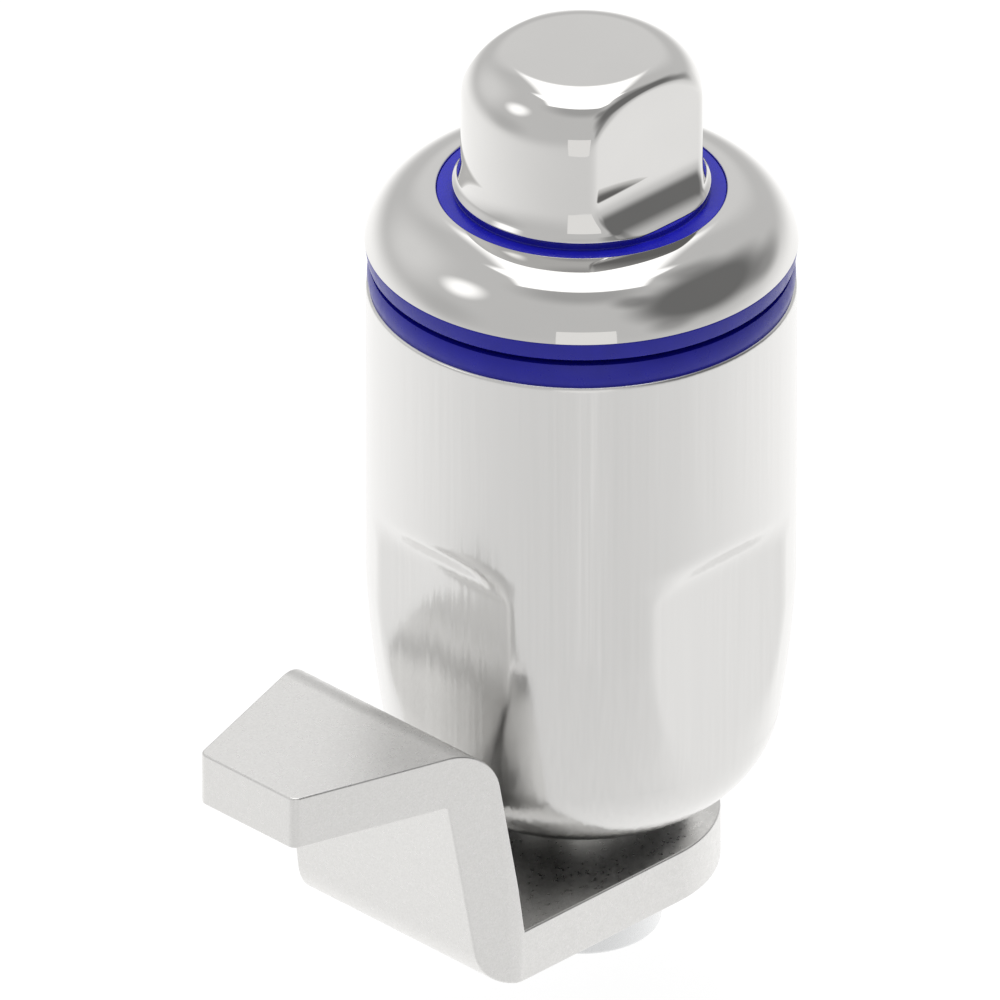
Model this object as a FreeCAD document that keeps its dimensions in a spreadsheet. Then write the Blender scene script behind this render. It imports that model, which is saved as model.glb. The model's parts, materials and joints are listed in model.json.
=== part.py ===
import FreeCAD, Part

import math
import os

import Sketcher

# Compression latch with a turned operating head, a sleeve nut and a bent cam.
# The Z axis is the axis of the latch. Z is 0 at the underside of the flange, which meets the outside
# of the door, and the head is up. The cam points along -X, pulled in and locked.

SHEET_NAME = "sizes"

# Driving dimensions in millimetres and degrees. A height ends in top, end, low or level.
SIZES = {
    # Operating head
    "head_radius": 8.4,
    "head_top": 14.85,
    "head_edge_round": 3.54,
    "head_flat_span": 13.4,
    "scoop_level": 7.4,
    "scoop_radius": 3.2,
    "head_soft_edge": 0.35,
    "flare_top": 6.66,
    "flare_low": 4.84,
    "flare_radius": 3.2,
    "collar_radius": 9.05,
    "collar_chamfer": 0.15,
    "collar_low": 4.5,
    "stem_radius": 6.0,
    "stem_end": -7.0,
    "stem_groove_radius": 4.74,
    "stem_groove_top": 2.15,
    "stem_groove_low": 0.45,
    "o_ring_mid_radius": 5.38,
    "o_ring_section_radius": 0.64,
    # Housing, one piece with its flange
    "stem_bore_radius": 6.05,
    "hub_radius": 7.0,
    "hub_top": 3.9,
    "seal_seat_radius": 10.1,
    "seal_seat_level": 2.4,
    "flange_top": 4.1,
    "flange_radius": 15.1,
    "flange_dome_radius": 5.1,
    "plate_low": -1.0,
    "neck_radius": 11.0,
    "neck_flat_span": 20.0,
    "neck_end": -36.0,
    "neck_chamfer": 0.8,
    "main_bore_radius": 8.65,
    "circlip_groove_radius": 9.4,
    "circlip_groove_width": 1.1,
    # Seals in blue rubber
    "head_seal_radius": 10.07,
    "head_seal_level": 3.97,
    "head_lip_radius": 8.85,
    "head_lip_top": 4.45,
    "flange_seal_low": -1.41,
    "flange_seal_low_radius": 14.87,
    "sleeve_seal_top": -1.85,
    "sleeve_seal_top_radius": 14.72,
    "sleeve_seal_low_radius": 14.77,
    "sleeve_seal_bulge": 2.4,
    "panel_seal_inner_radius": 11.1,
    # Sleeve nut
    "sleeve_top": -3.56,
    "sleeve_radius": 15.0,
    "sleeve_edge_chamfer": 0.25,
    "taper_top": -26.6,
    "taper_end": -37.08,
    "taper_end_radius": 13.9,
    "taper_bow_radius": 97.0,
    "sleeve_round_radius": 7.8,
    "sleeve_round_mid_radius": 6.2,
    "sleeve_low": -43.65,
    "thread_radius": 11.05,
    "thread_end": -20.0,
    "cavity_radius": 11.6,
    "cavity_low": -38.0,
    "cavity_chamfer": 2.0,
    "wrench_flat_span": 27.0,
    "wrench_flat_level": -20.45,
    "shaft_hole_radius": 5.2,
    "guide_ring_radius": 7.0,
    "guide_ring_low": -41.0,
    "guide_ring_height": 2.7,
    "shaft_seal_radius": 7.5,
    "shaft_seal_top": -41.8,
    "shaft_seal_low": -43.3,
    "shaft_seal_lip": 0.7,
    # Lifting mechanism inside the housing
    "washer_top": -1.02,
    "washer_thickness": 0.43,
    "washer_radius": 8.5,
    "helix_sleeve_radius": 8.6,
    "helix_sleeve_top": -1.5,
    "helix_sleeve_end": -28.0,
    "helix_bore_radius": 6.65,
    "helix_lead": 24.0,
    "helix_slot_height": 3.84,
    "helix_slot_end_radius": 2.0,
    "drive_pin_level": -4.2,
    "pin_radius": 1.5,
    "pin_length": 16.6,
    "lift_pin_level": -18.0,
    "cam_stroke": 6.0,
    "carrier_tube_radius": 6.6,
    "carrier_top": -8.0,
    "carrier_flange_top": -28.3,
    "carrier_flange_low": -30.2,
    "carrier_slot_width": 3.12,
    "carrier_slot_spare": 0.2,
    "lug_low": -31.8,
    "lug_inner_radius": 5.5,
    "lug_outer_radius": 7.5,
    "lug_span": 40.0,
    "running_gap": 0.05,
    # Bush that closes the housing
    "bush_top": -30.5,
    "bush_end": -34.5,
    "stop_recess_low": -32.1,
    "stop_recess_radius": 7.8,
    "stop_spare": 0.5,
    "swing_angle": 90.0,
    "key_radius": 1.0,
    "key_gap": 0.1,
    # Shaft, cam and screw
    "shaft_radius": 5.0,
    "shaft_top": -15.0,
    "shaft_chamfer": 0.5,
    "square_width": 7.0,
    "square_end": -49.3,
    "tapped_hole_radius": 2.5,
    "tapped_hole_top": -36.5,
    "cam_level": -45.5,
    "cam_thickness": 4.0,
    "cam_half_width": 9.77,
    "cam_square_hole": 7.04,
    "cam_inner_corner": 15.28,
    "cam_lean": 9.3,
    "cam_bend_radius": 4.0,
    "cam_leg_top": -29.8,
    "cam_reach": 32.85,
    "cam_taper_start": 16.0,
    "cam_taper": 17.0,
    "cam_tip_round": 0.7,
    "screw_head_radius": 5.65,
    "screw_head_low": -54.6,
    "screw_end": -38.0,
    "screw_socket_width": 5.0,
    "screw_socket_depth": 3.0,
    "screw_edge_chamfer": 0.3,
    # Return spring
    "spring_mid_radius": 4.05,
    "spring_wire_radius": 0.5,
    "spring_turns": 4.0,
    # Circlip
    "circlip_radius": 9.35,
    "circlip_width": 1.25,
    "circlip_thickness": 1.0,
    "circlip_gap": 5.2,
    "circlip_ear_radius": 1.35,
    "circlip_ear_reach": 6.6,
    "circlip_ear_offset": 3.75,
    "circlip_ear_hole_radius": 0.55,
    # How far a cut goes past the metal that it takes away
    "cut_margin": 1.0,
}

RIGHT_ANGLE = 90.0

# An edge counts as lying on a face up to this distance from it.
NEAR = 0.01

# A bend of an outline bulges to the left or to the right of the way that the outline runs.
LEFT = 1
RIGHT = -1


class Size:
    """A length that knows both its number and the expression over the sheet that gives it."""

    def __init__(self, number, text):
        self.number = number
        self.text = text

    def joined(self, sign, other, number):
        return Size(number, "({} {} {})".format(self.text, sign, other.text))

    def __add__(self, other):
        other = as_size(other)
        return self.joined("+", other, self.number + other.number)

    def __sub__(self, other):
        other = as_size(other)
        return self.joined("-", other, self.number - other.number)

    def __mul__(self, other):
        other = as_size(other)
        return self.joined("*", other, self.number * other.number)

    def __truediv__(self, other):
        other = as_size(other)
        return self.joined("/", other, self.number / other.number)

    def __neg__(self):
        return as_size(0) - self


class Bend:
    """Makes the next side of an outline an arc of this radius."""

    def __init__(self, radius, side):
        self.radius = as_size(radius)
        self.side = side


def as_size(value):
    """A plain number as a Size, or the Size itself."""
    if isinstance(value, Size):
        return value
    return Size(float(value), "({})".format(float(value)))


def fill_sheet(doc):
    """Puts every driving dimension in the sheet, in a cell with the dimension's name."""
    sheet = doc.addObject("Spreadsheet::Sheet", SHEET_NAME)
    for row, (name, number) in enumerate(SIZES.items(), start=1):
        sheet.set("A{}".format(row), name)
        sheet.set("B{}".format(row), str(number))
        sheet.setAlias("B{}".format(row), name)
    doc.recompute()
    return sheet


def size(name):
    """The dimension of that name, as its number and its expression."""
    return Size(SIZES[name], "{}.{}".format(SHEET_NAME, name))


def sine(angle):
    return Size(math.sin(math.radians(angle.number)), "sin({} * 1 deg)".format(angle.text))


def cosine(angle):
    return Size(math.cos(math.radians(angle.number)), "cos({} * 1 deg)".format(angle.text))


def tangent(angle):
    return Size(math.tan(math.radians(angle.number)), "tan({} * 1 deg)".format(angle.text))


def root(value):
    return Size(math.sqrt(value.number), "sqrt({})".format(value.text))


# Bodies, sketches and features

def new_body(doc, name):
    body = doc.addObject("PartDesign::Body", name)
    body.Label = name
    return body


def sketch_on(body, plane_role, name):
    """A sketch on one of the body's own origin planes."""
    planes = [item for item in body.Origin.OriginFeatures if item.Role == plane_role]
    sketch = body.newObject("Sketcher::SketchObject", name)
    sketch.AttachmentSupport = (planes[0], [""])
    sketch.MapMode = "FlatFace"
    return sketch


def bind_point(sketch, geometry, point, name, x, y):
    """Holds a sketch point at x and y, which are tied to the sheet."""
    for axis, value in (("X", as_size(x)), ("Y", as_size(y))):
        constraint = Sketcher.Constraint("Distance" + axis, -1, 1, geometry, point, value.number)
        sketch.renameConstraint(sketch.addConstraint(constraint), name + axis)
        if SHEET_NAME in value.text:
            sketch.setExpression("Constraints.{}{}".format(name, axis), value.text)


def bind_radius(sketch, geometry, name, radius):
    constraint = Sketcher.Constraint("Radius", geometry, radius.number)
    sketch.renameConstraint(sketch.addConstraint(constraint), name)
    if SHEET_NAME in radius.text:
        sketch.setExpression("Constraints." + name, radius.text)


def arc_between(start, end, bend):
    """Arc from start to end, and the numbers of its first and last point along the outline."""
    chord = end - start
    left = FreeCAD.Vector(-chord.y, chord.x, 0).normalize()
    rise = math.sqrt(bend.radius.number ** 2 - chord.Length ** 2 / 4)
    middle = (start + end) * 0.5 - left * (rise * bend.side)
    first, last = (end, start) if bend.side == LEFT else (start, end)
    first_angle = math.atan2(first.y - middle.y, first.x - middle.x)
    last_angle = math.atan2(last.y - middle.y, last.x - middle.x)
    circle = Part.Circle(middle, FreeCAD.Vector(0, 0, 1), bend.radius.number)
    points = (2, 1) if bend.side == LEFT else (1, 2)
    return Part.ArcOfCircle(circle, first_angle, last_angle), points


def draw_outline(sketch, steps, prefix="p"):
    """Closed outline through the corners in steps, where a Bend makes the next side an arc."""
    corners = []
    bends = {}
    for step in steps:
        if isinstance(step, Bend):
            bends[len(corners) - 1] = step
        else:
            corners.append(step)
    places = [FreeCAD.Vector(as_size(x).number, as_size(y).number, 0) for x, y in corners]
    sides = []
    for index, start in enumerate(places):
        end = places[(index + 1) % len(places)]
        if index in bends:
            curve, points = arc_between(start, end, bends[index])
        else:
            curve, points = Part.LineSegment(start, end), (1, 2)
        sides.append((sketch.addGeometry(curve, False), points))
    for index, (geometry, points) in enumerate(sides):
        before, before_points = sides[index - 1]
        sketch.addConstraint(
            Sketcher.Constraint("Coincident", before, before_points[1], geometry, points[0]))
        bind_point(sketch, geometry, points[0], "{}{}".format(prefix, index), *corners[index])
        if index in bends:
            bind_radius(sketch, geometry, "{}{}radius".format(prefix, index), bends[index].radius)


def draw_circle(sketch, x, y, radius, name="hole"):
    centre = FreeCAD.Vector(as_size(x).number, as_size(y).number, 0)
    circle = Part.Circle(centre, FreeCAD.Vector(0, 0, 1), radius.number)
    geometry = sketch.addGeometry(circle, False)
    bind_point(sketch, geometry, 3, name, x, y)
    bind_radius(sketch, geometry, name + "radius", radius)


def rectangle(x_low, x_high, y_low, y_high):
    return [(x_low, y_low), (x_high, y_low), (x_high, y_high), (x_low, y_high)]


def polygon(x, y, radius, count):
    """Corners of an even polygon, the first half a step round from the X direction."""
    corners = []
    for index in range(count):
        angle = as_size(360.0 * (index + 0.5) / count)
        corners.append((x + radius * cosine(angle), y + radius * sine(angle)))
    return corners


def turn(body, steps, name="turned_form"):
    """Turned form: the outline, in radius and height, goes round the Z axis."""
    sketch = sketch_on(body, "XZ_Plane", name + "_outline")
    draw_outline(sketch, steps)
    feature = body.newObject("PartDesign::Revolution", name)
    feature.Profile = sketch
    feature.ReferenceAxis = (sketch, ["V_Axis"])
    feature.Angle = 360
    return feature


def turned_part(doc, name, steps):
    body = new_body(doc, name)
    turn(body, steps)
    doc.recompute()
    return body


def pad(body, sketch, name, length, level=None, both_ways=False):
    """Extrudes a sketch, from the given level where there is one, or half to each side."""
    feature = body.newObject("PartDesign::Pad", name)
    feature.Profile = sketch
    feature.setExpression("Length", as_size(length).text)
    if both_ways:
        feature.SideType = "Symmetric"
    if level is not None:
        sketch.setExpression("AttachmentOffset.Base.z", as_size(level).text)
    return feature


def cut_through(body, sketch, name):
    feature = body.newObject("PartDesign::Pocket", name)
    feature.Profile = sketch
    feature.Type = "ThroughAll"
    feature.SideType = "Symmetric"
    return feature


def cut_up(body, sketch, name, level, depth):
    """Cuts upwards, from the given level, by the given depth."""
    sketch.setExpression("AttachmentOffset.Base.z", as_size(level).text)
    feature = body.newObject("PartDesign::Pocket", name)
    feature.Profile = sketch
    feature.setExpression("Length", as_size(depth).text)
    feature.Reversed = True
    return feature


def repeat_round(body, feature, name, count):
    """Repeats a feature evenly about the Z axis."""
    pattern = body.newObject("PartDesign::PolarPattern", name)
    pattern.Originals = [feature]
    axes = [item for item in body.Origin.OriginFeatures if item.Role == "Z_Axis"]
    pattern.Axis = (axes[0], [""])
    pattern.Angle = 360
    pattern.Occurrences = count
    body.Tip = pattern
    return pattern


def soften_edges(body, feature, name, radius, is_wanted):
    """Rounds the edges of a feature for which is_wanted is true."""
    names = []
    for number, edge in enumerate(feature.Shape.Edges, start=1):
        if is_wanted(edge):
            names.append("Edge{}".format(number))
    fillet = body.newObject("PartDesign::Fillet", name)
    fillet.Base = (feature, names)
    fillet.setExpression("Radius", radius.text)
    return fillet


def middle_of(edge):
    return edge.valueAt((edge.FirstParameter + edge.LastParameter) / 2)


# Operating head and its drive

def build_drive_head(doc):
    """Domed head with two spanner flats, its collar and the stem that goes through the flange."""
    body = new_body(doc, "drive_head")
    top = size("head_top")
    radius = size("head_radius")
    turn(body, [
        (0, top),
        (radius - size("head_edge_round"), top),
        Bend(size("head_edge_round"), LEFT),
        (radius, top - size("head_edge_round")),
        (radius, size("flare_top")),
        Bend(size("flare_radius"), RIGHT),
        (size("collar_radius"), size("flare_low")),
        (size("collar_radius"), size("collar_low") + size("collar_chamfer")),
        (size("collar_radius") - size("collar_chamfer"), size("collar_low")),
        (size("stem_radius"), size("collar_low")),
        (size("stem_radius"), size("stem_groove_top")),
        (size("stem_groove_radius"), size("stem_groove_top")),
        (size("stem_groove_radius"), size("stem_groove_low")),
        (size("stem_radius"), size("stem_groove_low")),
        (size("stem_radius"), size("stem_end")),
        (0, size("stem_end")),
    ])
    sketch = sketch_on(body, "YZ_Plane", "flat_outline")
    flat = size("head_flat_span") / 2
    clear = radius + size("scoop_radius")
    above = top + size("cut_margin")
    draw_outline(sketch, [
        (flat, above),
        (clear, above),
        (clear, size("scoop_level") - size("scoop_radius")),
        (flat + size("scoop_radius"), size("scoop_level") - size("scoop_radius")),
        Bend(size("scoop_radius"), LEFT),
        (flat, size("scoop_level")),
    ])
    first_flat = cut_through(body, sketch, "spanner_flat")
    flats = repeat_round(body, first_flat, "both_spanner_flats", 2)
    doc.recompute()

    def borders_flat(edge):
        place = middle_of(edge)
        on_flat = abs(abs(place.y) - flat.number) < NEAR
        return on_flat and place.z > SIZES["scoop_level"] + NEAR

    softened = soften_edges(body, flats, "soft_flat_edges", size("head_soft_edge"), borders_flat)
    body.Tip = softened
    pin_sketch = sketch_on(body, "XZ_Plane", "drive_pin_hole_outline")
    draw_circle(pin_sketch, 0, size("drive_pin_level"), size("pin_radius"))
    body.Tip = cut_through(body, pin_sketch, "drive_pin_hole")
    doc.recompute()
    return body


def build_stem_o_ring(doc):
    """Ring round the stem, drawn with eight sides to its section so that it stays light."""
    level = (size("stem_groove_top") + size("stem_groove_low")) / 2
    section = polygon(size("o_ring_mid_radius"), level, size("o_ring_section_radius"), 8)
    return turned_part(doc, "stem_o_ring", section)


def build_helix_sleeve(doc):
    """Tube under the head, with two opposite helical slots that drive the lift pin."""
    body = new_body(doc, "helix_sleeve")
    outer = size("helix_sleeve_radius")
    bore = size("helix_bore_radius")
    margin = size("cut_margin")
    turn(body, [
        (size("stem_radius"), size("helix_sleeve_top")),
        (outer, size("helix_sleeve_top")),
        (outer, size("helix_sleeve_end")),
        (bore, size("helix_sleeve_end")),
        (bore, size("stem_end")),
        (size("stem_radius"), size("stem_end")),
    ])
    half_slot = size("helix_slot_height") / 2
    high = size("lift_pin_level")
    high_end = sketch_on(body, "YZ_Plane", "upper_slot_end_outline")
    draw_circle(high_end, 0, high, size("helix_slot_end_radius"))
    cut_through(body, high_end, "upper_slot_ends")
    low_end = sketch_on(body, "XZ_Plane", "lower_slot_end_outline")
    draw_circle(low_end, 0, high - size("cam_stroke"), size("helix_slot_end_radius"))
    cut_through(body, low_end, "lower_slot_ends")
    pin_sketch = sketch_on(body, "XZ_Plane", "drive_pin_hole_outline")
    draw_circle(pin_sketch, 0, size("drive_pin_level"), size("pin_radius"))
    cut_through(body, pin_sketch, "drive_pin_hole")
    slot_sketch = sketch_on(body, "XZ_Plane", "slot_section")
    draw_outline(slot_sketch, rectangle(
        bore - margin, outer + margin, high - half_slot, high + half_slot))
    doc.recompute()
    slot = body.newObject("PartDesign::SubtractiveHelix", "helical_slot")
    slot.Profile = slot_sketch
    slot.ReferenceAxis = (slot_sketch, ["V_Axis"])
    slot.Mode = "pitch-height-angle"
    slot.setExpression("Pitch", size("helix_lead").text)
    slot.setExpression("Height", size("cam_stroke").text)
    slot.Reversed = True
    doc.recompute()
    repeat_round(body, slot, "both_helical_slots", 2)
    doc.recompute()
    return body


def cross_pin(doc, name, plane_role, level):
    """Plain pin across the axis of the latch."""
    body = new_body(doc, name)
    sketch = sketch_on(body, plane_role, "section")
    draw_circle(sketch, 0, level, size("pin_radius"))
    pad(body, sketch, "pin", size("pin_length"), both_ways=True)
    doc.recompute()
    return body


def build_thrust_washer(doc):
    """Plain washer between the flange and the helix sleeve."""
    low = size("washer_top") - size("washer_thickness")
    ring = rectangle(size("stem_bore_radius"), size("washer_radius"), low, size("washer_top"))
    return turned_part(doc, "thrust_washer", ring)


# Housing and seals

def build_housing(doc):
    """Flange with its domed edge, the seat of the head seal and the neck with its two flats."""
    body = new_body(doc, "housing_body")
    dome_edge = size("seal_seat_radius")
    groove_top = size("bush_end")
    groove_low = groove_top - size("circlip_groove_width")
    turn(body, [
        (size("stem_bore_radius"), size("hub_top")),
        (size("hub_radius"), size("hub_top")),
        (size("hub_radius"), size("seal_seat_level")),
        (dome_edge, size("seal_seat_level")),
        (dome_edge, size("flange_top")),
        Bend(size("flange_dome_radius"), LEFT),
        (size("flange_radius"), 0),
        (size("neck_radius"), 0),
        (size("neck_radius"), size("neck_end") + size("neck_chamfer")),
        (size("neck_radius") - size("neck_chamfer"), size("neck_end")),
        (size("main_bore_radius"), size("neck_end")),
        (size("main_bore_radius"), groove_low),
        (size("circlip_groove_radius"), groove_low),
        (size("circlip_groove_radius"), groove_top),
        (size("main_bore_radius"), groove_top),
        (size("main_bore_radius"), size("plate_low")),
        (size("stem_bore_radius"), size("plate_low")),
    ])
    flat = size("neck_flat_span") / 2
    sketch = sketch_on(body, "YZ_Plane", "neck_flat_outline")
    margin = size("cut_margin")
    draw_outline(sketch, rectangle(
        flat, size("neck_radius") + margin, size("neck_end") - margin, size("flange_seal_low")))
    first_flat = cut_through(body, sketch, "neck_flat")
    repeat_round(body, first_flat, "both_neck_flats", 2)
    key_sketch = sketch_on(body, "XY_Plane", "key_hole_outline")
    draw_circle(key_sketch, -size("main_bore_radius"), 0, size("key_radius"))
    depth = size("bush_top") - size("neck_end")
    key_hole = cut_up(body, key_sketch, "key_hole", size("neck_end"), depth)
    body.Tip = key_hole
    doc.recompute()
    return body


def build_head_seal(doc):
    """Wiper ring in the flange, with a raised lip under the collar of the head."""
    lip = size("head_lip_radius")
    hub = size("hub_radius")
    return turned_part(doc, "head_seal", [
        (hub, size("seal_seat_level")),
        (size("head_seal_radius"), size("seal_seat_level")),
        (size("head_seal_radius"), size("head_seal_level")),
        (lip, size("head_seal_level")),
        (lip, size("head_lip_top")),
        (hub, size("head_lip_top")),
    ])


def build_flange_seal(doc):
    """Seal between the flange and the outside of the door."""
    inner = size("panel_seal_inner_radius")
    return turned_part(doc, "flange_seal", [
        (inner, 0),
        (size("flange_radius"), 0),
        (size("flange_seal_low_radius"), size("flange_seal_low")),
        (inner, size("flange_seal_low")),
    ])


def build_sleeve_seal(doc):
    """Seal between the sleeve nut and the inside of the door, with a bulged edge."""
    inner = size("panel_seal_inner_radius")
    return turned_part(doc, "sleeve_seal", [
        (inner, size("sleeve_seal_top")),
        (size("sleeve_seal_top_radius"), size("sleeve_seal_top")),
        Bend(size("sleeve_seal_bulge"), LEFT),
        (size("sleeve_seal_low_radius"), size("sleeve_top")),
        (inner, size("sleeve_top")),
    ])


# Sleeve nut

def build_sleeve_nut(doc):
    """Closed sleeve that screws on the neck, with four wrench flats and a rounded lower end."""
    body = new_body(doc, "sleeve_nut")
    outer = size("sleeve_radius")
    edge = size("sleeve_edge_chamfer")
    round_radius = size("sleeve_round_radius")
    seal_radius = size("shaft_seal_radius")
    seal_offset = seal_radius - size("sleeve_round_mid_radius")
    drop = root(round_radius * round_radius - seal_offset * seal_offset)
    rim_level = size("sleeve_low") + round_radius - drop
    cavity = size("cavity_radius")
    turn(body, [
        (size("thread_radius"), size("sleeve_top")),
        (outer - edge, size("sleeve_top")),
        (outer, size("sleeve_top") - edge),
        (outer, size("taper_top")),
        Bend(size("taper_bow_radius"), LEFT),
        (size("taper_end_radius"), size("taper_end")),
        Bend(round_radius, LEFT),
        (seal_radius, rim_level),
        (seal_radius, size("shaft_seal_top")),
        (size("shaft_hole_radius"), size("shaft_seal_top")),
        (size("shaft_hole_radius"), size("guide_ring_low")),
        (size("guide_ring_radius"), size("guide_ring_low")),
        (size("guide_ring_radius"), size("cavity_low")),
        (cavity - size("cavity_chamfer"), size("cavity_low")),
        (cavity, size("cavity_low") + size("cavity_chamfer")),
        (cavity, size("thread_end")),
        (size("thread_radius"), size("thread_end")),
    ])
    flat = size("wrench_flat_span") / 2
    level = size("wrench_flat_level")
    clear = outer + size("cut_margin")
    below = size("sleeve_low") - size("cut_margin")
    # The upper end of each flat slopes outwards at 45 degrees.
    slope_top = level + clear - flat
    sketch = sketch_on(body, "XZ_Plane", "wrench_flat_outline")
    draw_outline(sketch, [
        (flat, below),
        (clear, below),
        (clear, slope_top),
        (flat, level),
    ])
    first_flat = cut_through(body, sketch, "wrench_flat")
    repeat_round(body, first_flat, "four_wrench_flats", 4)
    doc.recompute()
    return body


def build_shaft_guide_ring(doc):
    """Plain ring that guides the shaft in the sleeve nut."""
    low = size("guide_ring_low")
    inner = size("shaft_radius") + size("running_gap")
    ring = rectangle(inner, size("guide_ring_radius"), low, low + size("guide_ring_height"))
    return turned_part(doc, "shaft_guide_ring", ring)


def build_shaft_seal(doc):
    """Rod seal in the lower end of the sleeve nut, with a chamfered wiping lip."""
    inner = size("shaft_radius") + size("running_gap")
    outer = size("shaft_seal_radius")
    low = size("shaft_seal_low")
    lip = size("shaft_seal_lip")
    return turned_part(doc, "shaft_seal", [
        (inner, size("shaft_seal_top")),
        (outer, size("shaft_seal_top")),
        (outer, low),
        (inner + lip, low),
        (inner, low + lip),
    ])


# Parts that lift and swing the cam

def build_guide_carrier(doc):
    """Slotted tube that turns with the cam and keeps the lift pin upright, with its stop lug."""
    body = new_body(doc, "guide_carrier")
    bore = size("shaft_radius") + size("running_gap")
    tube = size("carrier_tube_radius")
    turn(body, [
        (bore, size("carrier_top")),
        (tube, size("carrier_top")),
        (tube, size("carrier_flange_top")),
        (size("helix_sleeve_radius"), size("carrier_flange_top")),
        (size("helix_sleeve_radius"), size("carrier_flange_low")),
        (bore, size("carrier_flange_low")),
    ])
    half_width = size("carrier_slot_width") / 2
    high = size("lift_pin_level") + size("carrier_slot_spare")
    low = size("lift_pin_level") - size("cam_stroke") - size("carrier_slot_spare")
    sketch = sketch_on(body, "YZ_Plane", "slot_outline")
    draw_outline(sketch, rectangle(-half_width, half_width, low, high))
    cut_through(body, sketch, "guide_slots")
    for name, level in (("upper", high), ("lower", low)):
        end_sketch = sketch_on(body, "YZ_Plane", name + "_slot_end_outline")
        draw_circle(end_sketch, 0, level, half_width)
        cut_through(body, end_sketch, name + "_slot_ends")
    lug_sketch = sketch_on(body, "XZ_Plane", "stop_lug_section")
    draw_outline(lug_sketch, rectangle(
        size("lug_inner_radius"), size("lug_outer_radius"), size("lug_low"), size("carrier_flange_low")))
    doc.recompute()
    lug = body.newObject("PartDesign::Revolution", "stop_lug")
    lug.Profile = lug_sketch
    lug.ReferenceAxis = (lug_sketch, ["V_Axis"])
    lug.setExpression("Angle", size("lug_span").text)
    lug.Midplane = True
    body.Tip = lug
    doc.recompute()
    return body


def build_end_bush(doc):
    """Bush that closes the housing and guides the shaft; the end walls of its recess stop the swing."""
    body = new_body(doc, "end_bush")
    bore = size("shaft_radius") + size("running_gap")
    turn(body, rectangle(bore, size("main_bore_radius"), size("bush_end"), size("bush_top")))
    recess_sketch = sketch_on(body, "XZ_Plane", "stop_recess_section")
    margin = size("cut_margin")
    draw_outline(recess_sketch, rectangle(
        bore - margin, size("stop_recess_radius"), size("stop_recess_low"), size("bush_top") + margin))
    doc.recompute()
    half_lug = size("lug_span") / 2
    recess = body.newObject("PartDesign::Groove", "stop_recess")
    recess.Profile = recess_sketch
    recess.ReferenceAxis = (recess_sketch, ["V_Axis"])
    recess.Type = "TwoAngles"
    recess.setExpression("Angle", (size("swing_angle") + half_lug + size("stop_spare")).text)
    recess.setExpression("Angle2", (half_lug + size("stop_spare")).text)
    key_sketch = sketch_on(body, "XY_Plane", "key_hole_outline")
    draw_circle(key_sketch, -size("main_bore_radius"), 0, size("key_radius"))
    body.Tip = recess
    key_hole = cut_through(body, key_sketch, "key_hole")
    body.Tip = key_hole
    doc.recompute()
    return body


def build_bush_key(doc):
    """Key pin, half in the bush and half in the housing, that keeps the bush from turning."""
    body = new_body(doc, "bush_key")
    sketch = sketch_on(body, "XY_Plane", "section")
    draw_circle(sketch, -size("main_bore_radius"), 0, size("key_radius"))
    length = size("bush_top") - size("bush_end") - size("key_gap") * 2
    pad(body, sketch, "key", length, level=size("bush_end") + size("key_gap"))
    doc.recompute()
    return body


def build_circlip(doc):
    """Inside circlip under the bush, an open ring with an ear at each end."""
    body = new_body(doc, "bush_circlip")
    thickness = size("circlip_thickness")
    level = size("bush_end") - thickness
    outer = size("circlip_radius")
    inner = outer - size("circlip_width")
    ring_sketch = sketch_on(body, "XY_Plane", "ring_outline")
    draw_circle(ring_sketch, 0, 0, outer, "outer")
    draw_circle(ring_sketch, 0, 0, inner, "inner")
    pad(body, ring_sketch, "ring", thickness, level=level)
    ear_x = size("circlip_ear_reach")
    ear_y = size("circlip_ear_offset")
    for name, side in (("left", 1), ("right", -1)):
        ear_sketch = sketch_on(body, "XY_Plane", name + "_ear_outline")
        draw_circle(ear_sketch, ear_x, ear_y * side, size("circlip_ear_radius"))
        pad(body, ear_sketch, name + "_ear", thickness, level=level)
        hole_sketch = sketch_on(body, "XY_Plane", name + "_ear_hole_outline")
        draw_circle(hole_sketch, ear_x, ear_y * side, size("circlip_ear_hole_radius"))
        cut_through(body, hole_sketch, name + "_ear_hole")
    gap_sketch = sketch_on(body, "XY_Plane", "gap_outline")
    half_gap = size("circlip_gap") / 2
    margin = size("cut_margin")
    draw_outline(gap_sketch, rectangle(inner - margin, outer + margin, -half_gap, half_gap))
    cut_through(body, gap_sketch, "gap")
    doc.recompute()
    return body


def build_cam_shaft(doc):
    """Round shaft with a cross hole for the lift pin, a square end for the cam and a tapped hole."""
    body = new_body(doc, "cam_shaft")
    radius = size("shaft_radius")
    chamfer = size("shaft_chamfer")
    top = size("shaft_top")
    turn(body, [
        (0, top),
        (radius - chamfer, top),
        (radius, top - chamfer),
        (radius, size("cam_level")),
        (0, size("cam_level")),
    ])
    half_square = size("square_width") / 2
    square_sketch = sketch_on(body, "XY_Plane", "square_outline")
    draw_outline(square_sketch, rectangle(-half_square, half_square, -half_square, half_square))
    length = size("cam_level") - size("square_end")
    pad(body, square_sketch, "square_end", length, level=size("square_end"))
    pin_sketch = sketch_on(body, "YZ_Plane", "lift_pin_hole_outline")
    draw_circle(pin_sketch, 0, size("lift_pin_level"), size("pin_radius"))
    cut_through(body, pin_sketch, "lift_pin_hole")
    thread_sketch = sketch_on(body, "XY_Plane", "tapped_hole_outline")
    draw_circle(thread_sketch, 0, 0, size("tapped_hole_radius"))
    depth = size("tapped_hole_top") - size("square_end")
    cut_up(body, thread_sketch, "tapped_hole", size("square_end"), depth)
    doc.recompute()
    return body


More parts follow.
